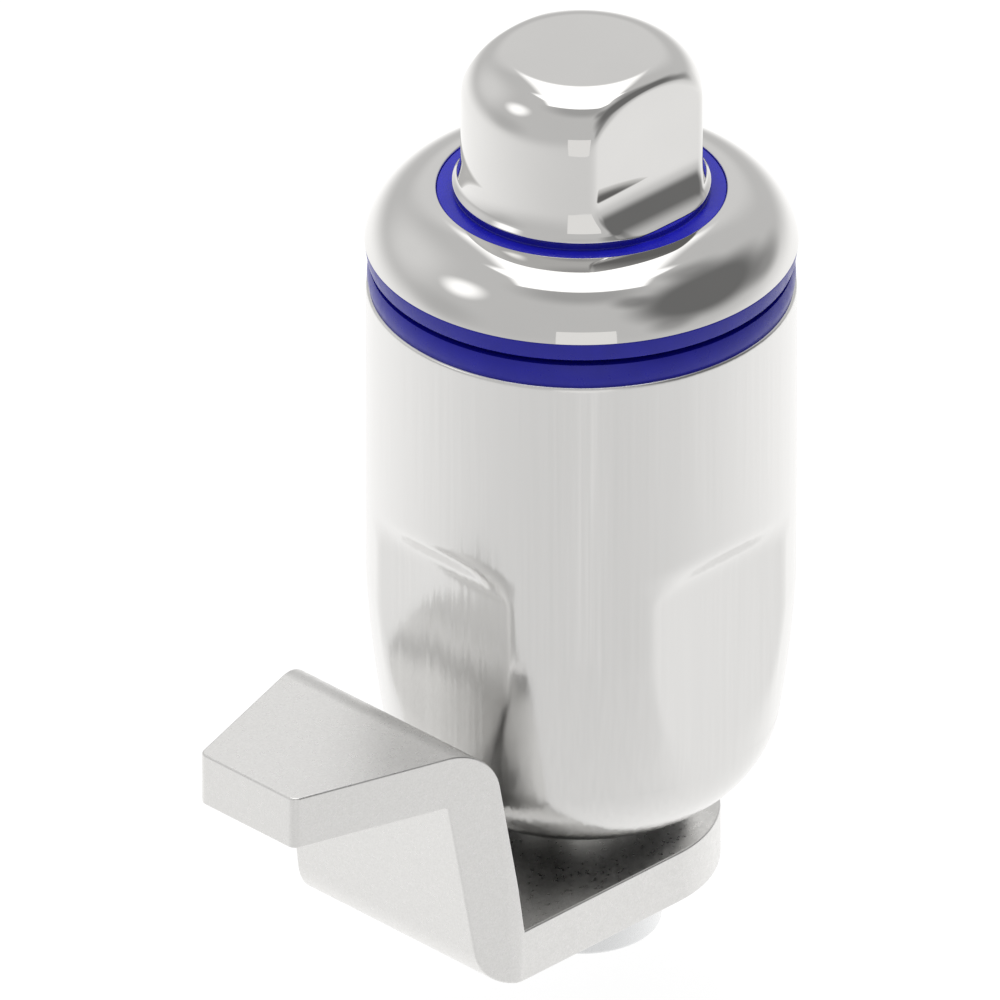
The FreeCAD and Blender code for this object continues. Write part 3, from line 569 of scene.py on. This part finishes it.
class Shader:
    """Builds the nodes of one finish from the principled shader upwards."""

    def __init__(self, name, values):
        self.material = blank_material(name)
        self.add = partial(add_node, self.material.node_tree)
        self.surface = self.add("ShaderNodeBsdfPrincipled", values)
        self.add("ShaderNodeOutputMaterial", {"Surface": self.surface.outputs[0]})
        self.place = self.add("ShaderNodeTexCoord").outputs["Object"]

    def feed(self, socket, source):
        self.material.node_tree.links.new(source, self.surface.inputs[socket])

    def noise(self, scale, detail, roughness=0.5, stretch=(1, 1, 1)):
        """A pattern in object coordinates, drawn out along the axes whose stretch is small."""
        mapping = self.add("ShaderNodeMapping", {"Vector": self.place, "Scale": stretch})
        return self.add("ShaderNodeTexNoise", {
            "Vector": mapping.outputs[0], "Scale": scale, "Detail": detail, "Roughness": roughness,
        }).outputs[0]

    def spread(self, source, low, high):
        """A value between low and high that follows a pattern."""
        first, last = 0.3, 0.7
        return self.add("ShaderNodeMapRange", {
            "Value": source, "From Min": first, "From Max": last, "To Min": low, "To Max": high}).outputs[0]

    def tone(self, colour, source, darker, lighter):
        """The colour made darker or lighter by a pattern."""
        dark, light = ([min(1.0, part * share) for part in colour] + [1] for share in (darker, lighter))
        first, second, mixed = 6, 7, 2
        mix = self.add("ShaderNodeMix", {
            "Factor": self.spread(source, 0.0, 1.0), first: dark, second: light}, data_type="RGBA")
        self.feed("Base Color", mix.outputs[mixed])

    def leaning(self, source, most):
        """The surface direction, leaning up or down by the pattern as the marks of brushing do."""
        lean = self.add("ShaderNodeCombineXYZ", {"Z": self.spread(source, -most, most)})
        normal = self.add("ShaderNodeNewGeometry").outputs["Normal"]
        total = self.add("ShaderNodeVectorMath", {0: normal, 1: lean.outputs[0]}, operation="ADD")
        return self.add("ShaderNodeVectorMath", {0: total.outputs[0]}, operation="NORMALIZE").outputs[0]

    def relief(self, source, depth, strength, **over):
        """The surface direction with the pattern raised, in metres, over an earlier Normal where given."""
        return self.add("ShaderNodeBump", {
            "Height": source, "Distance": depth, "Strength": strength, **over}).outputs[0]


def brushed(shader, colour):
    """Satin steel, brushed along the axis over fine turning lines."""
    streaks = shader.noise(3600, 3, 0.6, (1, 1, 0.015))
    wavering = shader.leaning(shader.noise(2600, 2, 0.5, (1, 1, 0.02)), 0.035)
    turning = shader.relief(shader.noise(5200, 2, 0.5, (0.01, 0.01, 1)), FINE_RELIEF, 0.01, Normal=wavering)
    shader.tone(colour, streaks, 0.985, 1.01)
    shader.feed("Roughness", shader.spread(streaks, 0.17, 0.22))
    shader.feed("Normal", shader.relief(streaks, FINE_RELIEF, 0.14, Normal=turning))


def grained(shader, colour, tone, tones, gloss, glosses, relief, depth, strength):
    """A finish whose tone, roughness and relief each follow a pattern."""
    shader.tone(colour, shader.noise(*tone), *tones)
    shader.feed("Roughness", shader.spread(shader.noise(*gloss), *glosses))
    shader.feed("Normal", shader.relief(shader.noise(*relief), depth, strength))


def finish(slot):
    """The finish of a slot, made when it is first asked for."""
    name = slot + FINISHED
    if name not in bpy.data.materials:
        colour = getattr(bpy.context.scene.latch_finish, slot)
        if slot == "brushed_sleeve_steel":
            brushed(Shader(name, METAL), colour)
        else:
            values, *grains = GRAINS[slot]
            grained(Shader(name, values), colour, *grains)
    return bpy.data.materials[name]


# Pieces


class LATCH_OT_operating_head(bpy.types.Operator):
    """Operating head with its two flats and scoops, and the stem under it"""
    bl_idname = "latch.operating_head"
    bl_label = "Operating Head"

    def execute(self, context):
        sizes = context.scene.latch_head
        half_span = sizes.flat_span / 2
        hollow = sizes.scoop_radius
        collar_low = 4.5 * MM
        collar_edge = 0.1 * MM
        crown_low, crown_high, side_share = 12.0 * MM, 13.7 * MM, 0.4

        def limit_at(height):
            drop = sizes.scoop_level - height
            if drop <= 0:
                return half_span
            if drop >= hollow:
                return half_span + hollow
            return half_span + hollow - math.sqrt(hollow ** 2 - drop ** 2)

        def softness_at(height):
            share = min(1.0, max(0.0, (height - crown_low) / (crown_high - crown_low)))
            return sizes.soft_edge * (side_share + (1 - side_share) * share * share * (3 - 2 * share))

        def flatten(x, y, z):
            kept = rounded_min(abs(y), limit_at(z), softness_at(z))
            return (x, math.copysign(kept, y), z)

        ease = 0.9 * MM
        edge = rolled_edge(sizes.radius, sizes.top, sizes.edge_round, ease)
        flare_top, gentle, steep = 6.66 * MM, 17.5, 42.0
        flare = swung((sizes.radius, flare_top), sizes.flare_radius, 0, gentle, 16)
        flick_radius = 0.8 * MM
        flick = swung(flare[-1], flick_radius, gentle, steep, 8)
        lip = collar_edge * (1 - math.cos(math.radians(steep)))
        slope = (sizes.collar_radius - lip - flick[-1][0]) / math.sin(math.radians(steep))
        rim = swung(onward(flick[-1], steep, slope), collar_edge, steep, -90, 10)
        profile = joined(
            straight((0, sizes.top), (edge[0][0], sizes.top), 14),
            edge,
            straight(edge[-1], (sizes.radius, sizes.scoop_level), 12),
            straight((sizes.radius, sizes.scoop_level), (sizes.radius, flare_top), 10),
            flare, flick, straight(flick[-1], rim[0], 3), rim,
            [(0, rim[-1][1])],
        )
        mesh = turned_mesh("operating_head", profile, steps=480, reshape=flatten)
        add_piece("operating_head", smooth_by_angle(mesh, 60), "operating_head", "polished_steel",
                  ["drive_head"])

        stem = 6.0 * MM
        groove, groove_top, groove_low = 4.74 * MM, 2.15 * MM, 0.45 * MM
        foot = foot_of("drive_head")
        stem_mesh = turned_mesh("head_stem", [
            (0, collar_low), (stem, collar_low), (stem, groove_top), (groove, groove_top),
            (groove, groove_low), (stem, groove_low), (stem, foot), (0, foot)], steps=128)
        pin, reach, pin_level = 1.5 * MM, 9 * MM, -4.2 * MM
        hole = rod(pin, (0, -reach, pin_level), (0, reach, pin_level), sides=48)
        stem_mesh = with_holes(stem_mesh, [hole])
        add_piece("head_stem", smooth_by_angle(stem_mesh, 30), "operating_head", "inner_steel")
        return {"FINISHED"}


class LATCH_OT_housing(bpy.types.Operator):
    """Domed flange and the neck that goes through the door"""
    bl_idname = "latch.housing"
    bl_label = "Housing"

    def execute(self, context):
        sizes = context.scene.latch_housing
        low = sizes.flange_top - sizes.dome_radius
        last = math.degrees(math.asin(-low / sizes.dome_radius))
        edge = 0.12 * MM
        bore = 6.05 * MM
        profile = joined(
            bow((sizes.seat_radius + edge, sizes.flange_top - edge), edge, 180, 90, 5),
            bow((sizes.seat_radius, low), sizes.dome_radius, 88, last, 64),
            [(sizes.flange_radius, 0), (bore, 0), (bore, SEAT_LEVEL), (HUB_RADIUS, SEAT_LEVEL),
             (sizes.seat_radius, SEAT_LEVEL)],
        )
        flange = turned_mesh("flange", profile, steps=480)
        add_piece("flange", smooth_by_angle(flange, 50), "housing", "polished_steel", ["housing_body"])

        half_flat = sizes.neck_flat_span / 2
        flat_top, step = PANEL_SEAL_FOOT, 0.001 * MM
        main_bore = 8.65 * MM
        chamfer = 0.8 * MM
        groove = 9.4 * MM
        groove_top, groove_low = -34.5 * MM, -35.6 * MM
        foot = foot_of("housing_body")
        plate_low = -1.0 * MM

        def flatten(x, y, z):
            if z > flat_top:
                return (x, y, z)
            return (x, max(-half_flat, min(half_flat, y)), z)

        neck = turned_mesh("housing_neck", joined(
            [(bore, 0), (sizes.neck_radius, 0), (sizes.neck_radius, flat_top + step),
             (sizes.neck_radius, flat_top), (sizes.neck_radius, foot + chamfer),
             (sizes.neck_radius - chamfer, foot), (main_bore, foot), (main_bore, groove_low),
             (groove, groove_low), (groove, groove_top), (main_bore, groove_top),
             (main_bore, plate_low), (bore, plate_low)]), steps=192, reshape=flatten)
        key_radius, key_top = 1.0 * MM, -30.5 * MM
        key = rod(key_radius, (-main_bore, 0, foot - MM), (-main_bore, 0, key_top), sides=32)
        neck = with_holes(neck, [key])
        add_piece("housing_neck", smooth_by_angle(neck, 30), "housing", "inner_steel")

        hub_top = 3.9 * MM
        hub = turned_mesh("seal_hub", [
            (bore, SEAT_LEVEL), (HUB_RADIUS, SEAT_LEVEL), (HUB_RADIUS, hub_top), (bore, hub_top)],
            steps=160)
        add_piece("seal_hub", smooth_by_angle(hub, 30), "housing", "inner_steel")
        return {"FINISHED"}


class LATCH_OT_seals(bpy.types.Operator):
    """Blue rubber seals on the flange, under it and on the sleeve nut"""
    bl_idname = "latch.seals"
    bl_label = "Seals"

    def execute(self, context):
        def seal(name, profile, node, steps=320, rubber="seal_rubber"):
            mesh = turned_mesh(name, profile, steps)
            add_piece(name, smooth_by_angle(mesh, 60), "housing", rubber, [node])

        hub, outer, low = HUB_RADIUS, 10.07 * MM, SEAT_LEVEL
        level, lip, lip_top = 3.97 * MM, 8.85 * MM, top_of("head_seal")
        seal("small_seal", softened([
            (hub, low), (outer, low), (outer, level), (lip, level), (lip, lip_top), (hub, lip_top)],
            radius=0.09 * MM), "head_seal")

        inner, low_edge, level = PANEL_SEAL_RADIUS, 14.87 * MM, PANEL_SEAL_FOOT
        seal("flange_panel_seal", softened([
            (inner, 0), (FLANGE_RADIUS, 0), (low_edge, level), (inner, level)],
            radius=0.16 * MM), "flange_seal")

        top, foot = -1.85 * MM, -3.56 * MM
        bulge = 2.4 * MM
        first, last = Vector((14.72 * MM, top)), Vector((14.77 * MM, foot))
        half = (last - first).length / 2
        centre = (first + last) / 2 - Vector((math.sqrt(bulge ** 2 - half ** 2), 0))
        swing = math.degrees(math.asin(half / bulge))
        seal("sleeve_panel_seal", joined(
            bow(centre, bulge, swing, -swing, 18),
            [(inner, foot), (inner, top)]), "sleeve_seal")

        shaft, rim = 5.05 * MM, ROD_SEAL_RADIUS
        seal_top, seal_low, lead = ROD_SEAL_TOP, foot_of("shaft_seal"), 0.7 * MM
        seal("rod_seal", softened([
            (shaft, seal_top), (rim, seal_top), (rim, seal_low), (shaft + lead, seal_low),
            (shaft, seal_low + lead)], radius=0.1 * MM),
            "shaft_seal", steps=160, rubber="black_rubber")
        return {"FINISHED"}


class LATCH_OT_sleeve_nut(bpy.types.Operator):
    """Long closed sleeve with four wrench flats and a rounded lower end"""
    bl_idname = "latch.sleeve_nut"
    bl_label = "Sleeve Nut"

    def execute(self, context):
        sizes = context.scene.latch_sleeve
        top, rim = top_of("sleeve_nut"), ROD_SEAL_RADIUS
        edge, corner = 0.25 * MM, 2.0 * MM
        taper_top, taper_end = (sizes.radius, -26.6 * MM), (13.9 * MM, -37.08 * MM)
        taper_bow = 97.0 * MM
        lean = math.degrees(math.atan2(taper_top[0] - taper_end[0], taper_top[1] - taper_end[1]))
        swing = math.degrees(math.asin(math.dist(taper_top, taper_end) / 2 / taper_bow))
        round_mid = (6.2 * MM, -35.85 * MM)
        first = math.degrees(math.atan2(taper_end[1] - round_mid[1], taper_end[0] - round_mid[0]))
        last = -math.degrees(math.acos((rim - round_mid[0]) / sizes.foot_round))
        above, below = 2.9 * MM, 1.9 * MM
        slope_top, slope_low = sizes.flat_level + above, sizes.flat_level - below
        thread, thread_end = 11.05 * MM, -20.0 * MM
        cavity, cavity_low = 11.6 * MM, -38.0 * MM
        ring, ring_low = 7.0 * MM, -41.0 * MM
        hole, seal_top = 5.2 * MM, ROD_SEAL_TOP
        profile = joined(
            bow((sizes.radius - edge, top - edge), edge, 90, 0, 5),
            straight((sizes.radius, top - edge), (sizes.radius, top - 2 * edge), 2),
            straight((sizes.radius, top - 2 * edge), (sizes.radius, slope_top), 3),
            straight((sizes.radius, slope_top), (sizes.radius, slope_low), 44),
            straight((sizes.radius, slope_low), taper_top, 3),
            swung(taper_top, taper_bow, -lean + swing, -lean - swing, 30),
            bow(round_mid, sizes.foot_round, first, last, 40),
            [(rim, seal_top), (hole, seal_top), (hole, ring_low), (ring, ring_low), (ring, cavity_low),
             (cavity - corner, cavity_low), (cavity, cavity_low + corner), (cavity, thread_end),
             (thread, thread_end), (thread, top)],
        )
        outline = bpy.data.meshes.new("sleeve_outline")
        outline.from_pydata([(radius, 0, height) for radius, height in profile], [], [])
        mesh = grown("sleeve_nut_smooth", outline, turning_tree(), {
            "Steps": 600,
            "Half Span": sizes.flat_span / 2,
            "Level": sizes.flat_level,
            "Slope": sizes.flat_slope,
            "Run Out": sizes.run_out,
            "Soft Edge": sizes.soft_edge,
            "Foot Level": taper_end[1],
            "Foot Softness": sizes.foot_softness,
            "Material": finish("brushed_sleeve_steel"),
        })
        add_piece("sleeve_nut_smooth", smooth_by_angle(mesh, 50), "housing", "brushed_sleeve_steel",
                  ["sleeve_nut"])
        return {"FINISHED"}


class LATCH_OT_cam(bpy.types.Operator):
    """Bent and tapered cam plate with softened edges"""
    bl_idname = "latch.cam"
    bl_label = "Cam"

    def execute(self, context):
        sizes = context.scene.latch_cam
        half, thick, bend = sizes.half_width, sizes.thickness, sizes.bend_radius
        lean = math.tan(math.radians(9.3))
        top, leg_top = -45.5 * MM, top_of("cam")
        low, leg_low = top - thick, leg_top - thick
        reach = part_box("cam")[0].x
        inner_x = -15.28 * MM
        outer_x = inner_x - thick * math.hypot(1, lean)
        side = rounded_outline([
            (half, low, 0), (half, top, 0), (inner_x, top, 0),
            (inner_x - (leg_top - top) * lean, leg_top, bend), (reach, leg_top, 0), (reach, leg_low, 0),
            (outer_x - (leg_low - top) * lean, leg_low, 0), (outer_x + thick * lean, low, bend)], 16)
        taper_start = -16.0 * MM
        taper = math.tan(math.radians(17.0))
        tip_half = half - (taper_start - reach) * taper
        tip_round = 0.7 * MM
        plan = bow((0, 0), half, -90, 90, 44) + rounded_outline([
            (taper_start, half, 0), (reach, tip_half, tip_round), (reach, -tip_half, tip_round),
            (taper_start, -half, 0)], 6)
        room = 2 * half
        mesh = prism("cam_plate", side, room, lambda a, b, level: (a, level, b))
        trim = prism("cam_trim", plan, 2 * room, lambda a, b, level: (a, b, level - room))
        hole = 7.04 * MM / 2
        cutter = rod(
            hole * math.sqrt(2), (0, 0, low - MM), (0, 0, top + MM), sides=4, turned_by=math.pi / 4)
        mesh = with_holes(mesh, [trim, cutter], ["INTERSECT", "DIFFERENCE"])
        work = new_object("work_cam", mesh)
        soften = work.modifiers.new("soft_edges", "BEVEL")
        soften.width = sizes.soft_edge
        soften.segments = 3
        soften.use_clamp_overlap = False
        soften.limit_method = "ANGLE"
        soften.angle_limit = math.radians(40)
        work = new_object("work_cam", self.creased(plain_mesh(work)))
        level = work.modifiers.new("level_sides", "WEIGHTED_NORMAL")
        level.keep_sharp = True
        add_piece("cam_plate", plain_mesh(work), "shaft", "blasted_steel", ["cam"])
        return {"FINISHED"}

    def creased(self, mesh):
        """The mesh shaded smooth, apart from creases between two broad sides."""
        mesh.shade_smooth()
        broad, crease = 2e-6, math.radians(12)
        with opened(mesh) as work:
            for edge in work.edges:
                sides = edge.link_faces
                if len(sides) == 2 and min(face.calc_area() for face in sides) > broad:
                    edge.smooth = edge.calc_face_angle() < crease
        return mesh


class LATCH_OT_screw(bpy.types.Operator):
    """Cam screw with a plain head and a hexagon socket"""
    bl_idname = "latch.cam_screw"
    bl_label = "Cam Screw"

    def execute(self, context):
        head, shank = 5.65 * MM, 2.5 * MM
        foot, seat, end = foot_of("cam_screw"), -49.5 * MM, top_of("cam_screw")
        edge, upper_edge = 0.3 * MM, 0.12 * MM
        profile = joined(
            [(0, end), (shank, end), (shank, seat)],
            bow((head - upper_edge, seat - upper_edge), upper_edge, 90, 0, 3),
            bow((head - edge, foot + edge), edge, 0, -90, 8),
            [(0, foot)])
        mesh = turned_mesh("cam_screw_smooth", profile, steps=192)
        across, depth = 5.0 * MM, 3.0 * MM
        socket = rod(across / math.sqrt(3), (0, 0, foot - MM), (0, 0, foot + depth), sides=6)
        mesh = with_holes(mesh, [socket])
        add_piece("cam_screw_smooth", smooth_by_angle(mesh, 30), "shaft", "pale_screw", ["cam_screw"])
        return {"FINISHED"}


class LATCH_OT_spring(bpy.types.Operator):
    """Return spring, a round wire wound in a coil"""
    bl_idname = "latch.return_spring"
    bl_label = "Return Spring"

    def execute(self, context):
        sizes = context.scene.latch_spring
        lowest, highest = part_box("return_spring")
        mesh = grown("spring_coil", bpy.data.meshes.new("spring_base"), self.coil_tree(), {
            "Coil Radius": sizes.coil_radius,
            "Wire Radius": sizes.wire_radius,
            "Turns": sizes.turns,
            "Foot": lowest.z + sizes.wire_radius,
            "Height": highest.z - lowest.z - 2 * sizes.wire_radius,
            "Material": finish("spring_steel"),
        })
        mesh.shade_smooth()
        add_piece("spring_coil", mesh, "carrier", "spring_steel", ["return_spring"])
        return {"FINISHED"}

    def coil_tree(self):
        """Node tree that winds a wire by its radius, turns, foot and height."""
        tree, inputs, outputs = new_tree(
            "wound_spring", Coil_Radius="Float", Wire_Radius="Float", Turns="Float", Foot="Float",
            Height="Float")
        add, given = partial(add_node, tree), inputs.outputs
        spiral = add("GeometryNodeCurveSpiral", {
            "Resolution": 48, "Rotations": given["Turns"], "Start Radius": given["Coil Radius"],
            "End Radius": given["Coil Radius"], "Height": given["Height"]})
        lift = add("ShaderNodeCombineXYZ", {"Z": given["Foot"]})
        moved = add("GeometryNodeTransform", {
            "Geometry": spiral.outputs["Curve"], "Translation": lift.outputs[0]})
        section = add("GeometryNodeCurvePrimitiveCircle", {
            "Resolution": 16, "Radius": given["Wire Radius"]})
        wire = add("GeometryNodeCurveToMesh", {
            "Curve": moved.outputs["Geometry"], "Profile Curve": section.outputs["Curve"],
            "Fill Caps": True})
        end_tree(tree, wire.outputs["Mesh"], inputs, outputs)
        return tree


class LATCH_OT_inner_parts(bpy.types.Operator):
    """Finishes of the inner parts, which keep their own shapes"""
    bl_idname = "latch.inner_parts"
    bl_label = "Inner Parts"

    def execute(self, context):
        slots = {part["node"]: part["material_slot"] for part in frame["record"]["subparts"]}
        for name, node in frame["nodes"].items():
            if node.hide_render:
                continue
            material = finish(slots[name])
            if not node.material_slots:
                node.data.materials.append(material)
            for slot in node.material_slots:
                slot.material = material
        return {"FINISHED"}


class LATCH_OT_studio(bpy.types.Operator):
    """Camera, pale floor, lamp and the surroundings that the steel reflects"""
    bl_idname = "latch.studio"
    bl_label = "Studio"

    def execute(self, context):
        scene = context.scene
        settings = scene.latch_studio
        scene.view_settings.view_transform = "Standard"
        self.camera(scene, settings)
        self.floor()
        self.card()
        self.lamp(settings)
        scene.world = self.surroundings()
        return {"FINISHED"}

    def aimed(self, name, data, place, way):
        """A camera or lamp at a place, turned to face a way."""
        piece = new_object(name, data)
        piece.location = place
        piece.rotation_mode = "QUATERNION"
        piece.rotation_quaternion = way.to_track_quat("-Z", "Y")
        return piece

    def board(self, name, corners, hidden_from):
        """A flat board that some kinds of rays don't see; returns its node tree."""
        mesh = bpy.data.meshes.new(name)
        mesh.from_pydata(corners, [], [(0, 1, 2, 3)])
        material = blank_material(name)
        mesh.materials.append(material)
        board = new_object(name, mesh)
        for ray in hidden_from:
            setattr(board, "visible_" + ray, False)
        return material.node_tree

    def camera(self, scene, settings):
        data = bpy.data.cameras.new("camera")
        data.lens = settings.lens
        distance = settings.view_width * settings.lens / data.sensor_width
        nearest, farthest, across, above = 0.5, 3, -5.659 * MM, -18.26 * MM
        data.clip_start, data.clip_end = distance * nearest, distance * farthest
        centre = SIDE * across + VIEW_UP * above
        scene.camera = self.aimed("camera", data, centre + VIEW_BACK * distance, -VIEW_BACK)

    def floor(self):
        """Pale floor just under the cam at its lowest, with the object's shadow."""
        joints = {joint["name"]: joint for joint in frame["record"]["behaviour"]["joints"]}
        reach, gap, paleness, shadow = 3.0, 0.2 * MM, 0.92, 0.14
        level = foot_of("cam_screw") - joints["cam_travel"]["range_m"][1] - gap
        corners = [(x * reach, y * reach, level) for x, y in ((-1, -1), (1, -1), (1, 1), (-1, 1))]
        tree = self.board("floor", corners, ("diffuse", "glossy", "shadow"))
        seen = add_node(tree, "ShaderNodeLightPath").outputs["Is Camera Ray"]
        strength = math_node(tree, "MULTIPLY", seen, paleness)
        pale = add_node(tree, "ShaderNodeEmission", {"Strength": strength})
        shaded = add_node(tree, "ShaderNodeBsdfDiffuse", {"Color": (shadow, shadow, shadow, 1)})
        both = add_node(tree, "ShaderNodeAddShader", {0: shaded.outputs[0], 1: pale.outputs[0]})
        add_node(tree, "ShaderNodeOutputMaterial", {"Surface": both.outputs[0]})

    def card(self):
        """Upright white card in front of the object, seen only as a reflection."""
        away, left, right, low, high = 99 * MM, -21 * MM, 29 * MM, -38 * MM, 20 * MM
        corners = [FRONT * away + SIDE * across + Vector((0, 0, level)) for across, level in (
            (left, low), (right, low), (right, high), (left, high))]
        tree = self.board("card", corners, (
            "camera", "diffuse", "transmission", "shadow", "volume_scatter"))
        glow = add_node(tree, "ShaderNodeEmission", {"Color": (0.885, 0.875, 0.86, 1)})
        add_node(tree, "ShaderNodeOutputMaterial", {"Surface": glow.outputs[0]})

    def lamp(self, settings):
        data = bpy.data.lights.new("soft_lamp", "AREA")
        data.shape, data.size, data.energy = "DISK", 0.3, settings.lamp_power
        place = Vector((0.03, 0.03, 0.6))
        lamp = self.aimed("soft_lamp", data, place, -place)
        lamp.visible_camera = lamp.visible_glossy = False

    def surroundings(self):
        """World of a studio: pale floor, grey walls with soft patches, and an overhead softbox."""
        world = bpy.data.worlds.new("studio")
        world.use_nodes = True
        tree = world.node_tree
        tree.nodes.clear()
        add, calc, step = partial(add_node, tree), partial(math_node, tree), partial(ramp, tree)

        def vector(operation, *values):
            return add("ShaderNodeVectorMath", enumerate(values), operation=operation).outputs

        def mixed(share, below, above):
            return add("ShaderNodeMix", {0: share, 2: below, 3: above}).outputs[0]

        way = add("ShaderNodeTexCoord").outputs["Generated"]
        front, side, height = (
            vector("DOT_PRODUCT", way, axis)["Value"] for axis in (FRONT, SIDE, (0, 0, 1)))
        azimuth = calc("DEGREES", calc("ARCTAN2", side, front))
        elevation = calc("DEGREES", calc("ARCSINE", height))
        spot = add("ShaderNodeCombineXYZ", {0: azimuth, 1: elevation}).outputs[0]

        # floor that is brighter at the back, and walls above a horizon that sinks beside the front
        floor_tone, floor_fall, sinking, wall_tone = 0.915, 0.21, 10.0, 0.60
        ground = calc("SUBTRACT", floor_tone, calc("MULTIPLY", front, floor_fall))
        corner = calc("MULTIPLY", front, calc("ABSOLUTE", side))
        horizon = calc("ADD", elevation, calc("MULTIPLY", corner, sinking))
        tone = mixed(step(horizon, -22, 7), ground, wall_tone)
        # soft patches: azimuth from the front and to the right, elevation, reach in both, the share of
        # it that is even, and tone
        patches = (
            (3, -20, 15, 9.5, 0.60, 0.90),
            (180, 30, 34, 17, 0.30, 0.73),
            (-180, 30, 34, 17, 0.30, 0.73),
            (-120, 28, 40, 30, 0.15, 0.76),
            (-74, 6, 30, 20, 0.10, 0.52),
            (0, 72, 95, 22, 0.30, 0.42),
            (37, 52, 22, 14, 0.20, 0.31),
            (105, 56, 32, 16, 0.20, 0.34),
            (112, 11, 28, 16, 0.20, 0.33),
            (47, 8, 18, 14, 0.20, 0.38),
            (76, 32, 58, 34, 0.50, 0.17),
        )
        for across, above, wide, high, core, value in patches:
            offset = vector("SUBTRACT", spot, (across, above, 0))["Vector"]
            scaled = vector("MULTIPLY", offset, (1 / wide, 1 / high, 0))["Vector"]
            tone = mixed(step(vector("LENGTH", scaled)["Value"], 1.0, core), tone, value)
        # round lamp at the left
        across, above, lamp_tone = math.radians(-77), math.radians(38), 1.30
        lamp = (FRONT * math.cos(across) + SIDE * math.sin(across)) * math.cos(above)
        lamp.z = math.sin(above)
        away = calc("DEGREES", calc("ARCCOSINE", vector("DOT_PRODUCT", way, lamp)["Value"]))
        tone = mixed(step(away, 15, 4), tone, calc("MAXIMUM", tone, lamp_tone))
        # softbox over the object, drawn on a plane across its own axis: a square end in front, and a
        # tail that narrows towards the back
        facing = calc("SUBTRACT", calc("MULTIPLY", height, TILT_COS), calc("MULTIPLY", front, TILT_SIN))
        rising = calc("ADD", calc("MULTIPLY", height, TILT_SIN), calc("MULTIPLY", front, TILT_COS))
        forward = calc("DIVIDE", rising, facing)
        sideways = calc("ABSOLUTE", calc("DIVIDE", side, facing))
        square = calc("MULTIPLY", step(sideways, 0.40, 0.36), step(forward, 0.12, 0.26))
        narrowing, least_facing, box_tone = 0.3, 0.3, 1.45
        tail_side = calc("SUBTRACT", sideways, calc("MULTIPLY", forward, narrowing))
        tail = calc("MULTIPLY", step(forward, -0.50, -0.40), step(tail_side, 0.28, 0.20))
        bowed = calc("ADD", forward, calc("MULTIPLY", sideways, sideways))
        softbox = calc("MULTIPLY", calc("MAXIMUM", square, tail), step(bowed, 0.98, 0.93))
        softbox = calc("MULTIPLY", softbox, calc("GREATER_THAN", facing, least_facing))
        tone = mixed(softbox, tone, calc("MAXIMUM", tone, box_tone))

        colour = add("ShaderNodeCombineColor", {
            index: calc("MULTIPLY", tone, warmth) for index, warmth in enumerate((1.0, 0.994, 0.985))})
        studio = add("ShaderNodeBackground", {"Color": colour.outputs[0]})
        white = add("ShaderNodeBackground", {"Color": (1, 1, 1, 1)})
        seen = add("ShaderNodeLightPath").outputs["Is Camera Ray"]
        mix = add("ShaderNodeMixShader", {0: seen, 1: studio.outputs[0], 2: white.outputs[0]})
        add("ShaderNodeOutputWorld", {"Surface": mix.outputs[0]})
        return world


class LATCH_PT_latch(bpy.types.Panel):
    """Lists the pieces of the latch and their sizes"""
    bl_idname = "LATCH_PT_latch"
    bl_label = "Compression Latch"
    bl_space_type = "VIEW_3D"
    bl_region_type = "UI"
    bl_category = "Latch"

    def draw(self, context):
        for operator in OPERATORS:
            self.layout.operator(operator.bl_idname)
        for name, group in SETTINGS.items():
            box = self.layout.box()
            for field in group.__annotations__:
                box.prop(getattr(context.scene, name), field)


OPERATORS = (
    LATCH_OT_operating_head,
    LATCH_OT_housing,
    LATCH_OT_seals,
    LATCH_OT_sleeve_nut,
    LATCH_OT_cam,
    LATCH_OT_screw,
    LATCH_OT_spring,
    LATCH_OT_inner_parts,
    LATCH_OT_studio,
)


def register():
    for group in SETTINGS.values():
        bpy.utils.register_class(group)
    for name, group in SETTINGS.items():
        setattr(bpy.types.Scene, name, bpy.props.PointerProperty(type=group))
    for operator in OPERATORS:
        bpy.utils.register_class(operator)
    bpy.utils.register_class(LATCH_PT_latch)


def unregister():
    bpy.utils.unregister_class(LATCH_PT_latch)
    for operator in reversed(OPERATORS):
        bpy.utils.unregister_class(operator)
    for name, group in SETTINGS.items():
        delattr(bpy.types.Scene, name)
        bpy.utils.unregister_class(group)


def main():
    register()
    bpy.ops.latch.operating_head()
    bpy.ops.latch.housing()
    bpy.ops.latch.seals()
    bpy.ops.latch.sleeve_nut()
    bpy.ops.latch.cam()
    bpy.ops.latch.cam_screw()
    bpy.ops.latch.return_spring()
    bpy.ops.latch.inner_parts()
    bpy.ops.latch.studio()


if __name__ == "__main__":
    main()
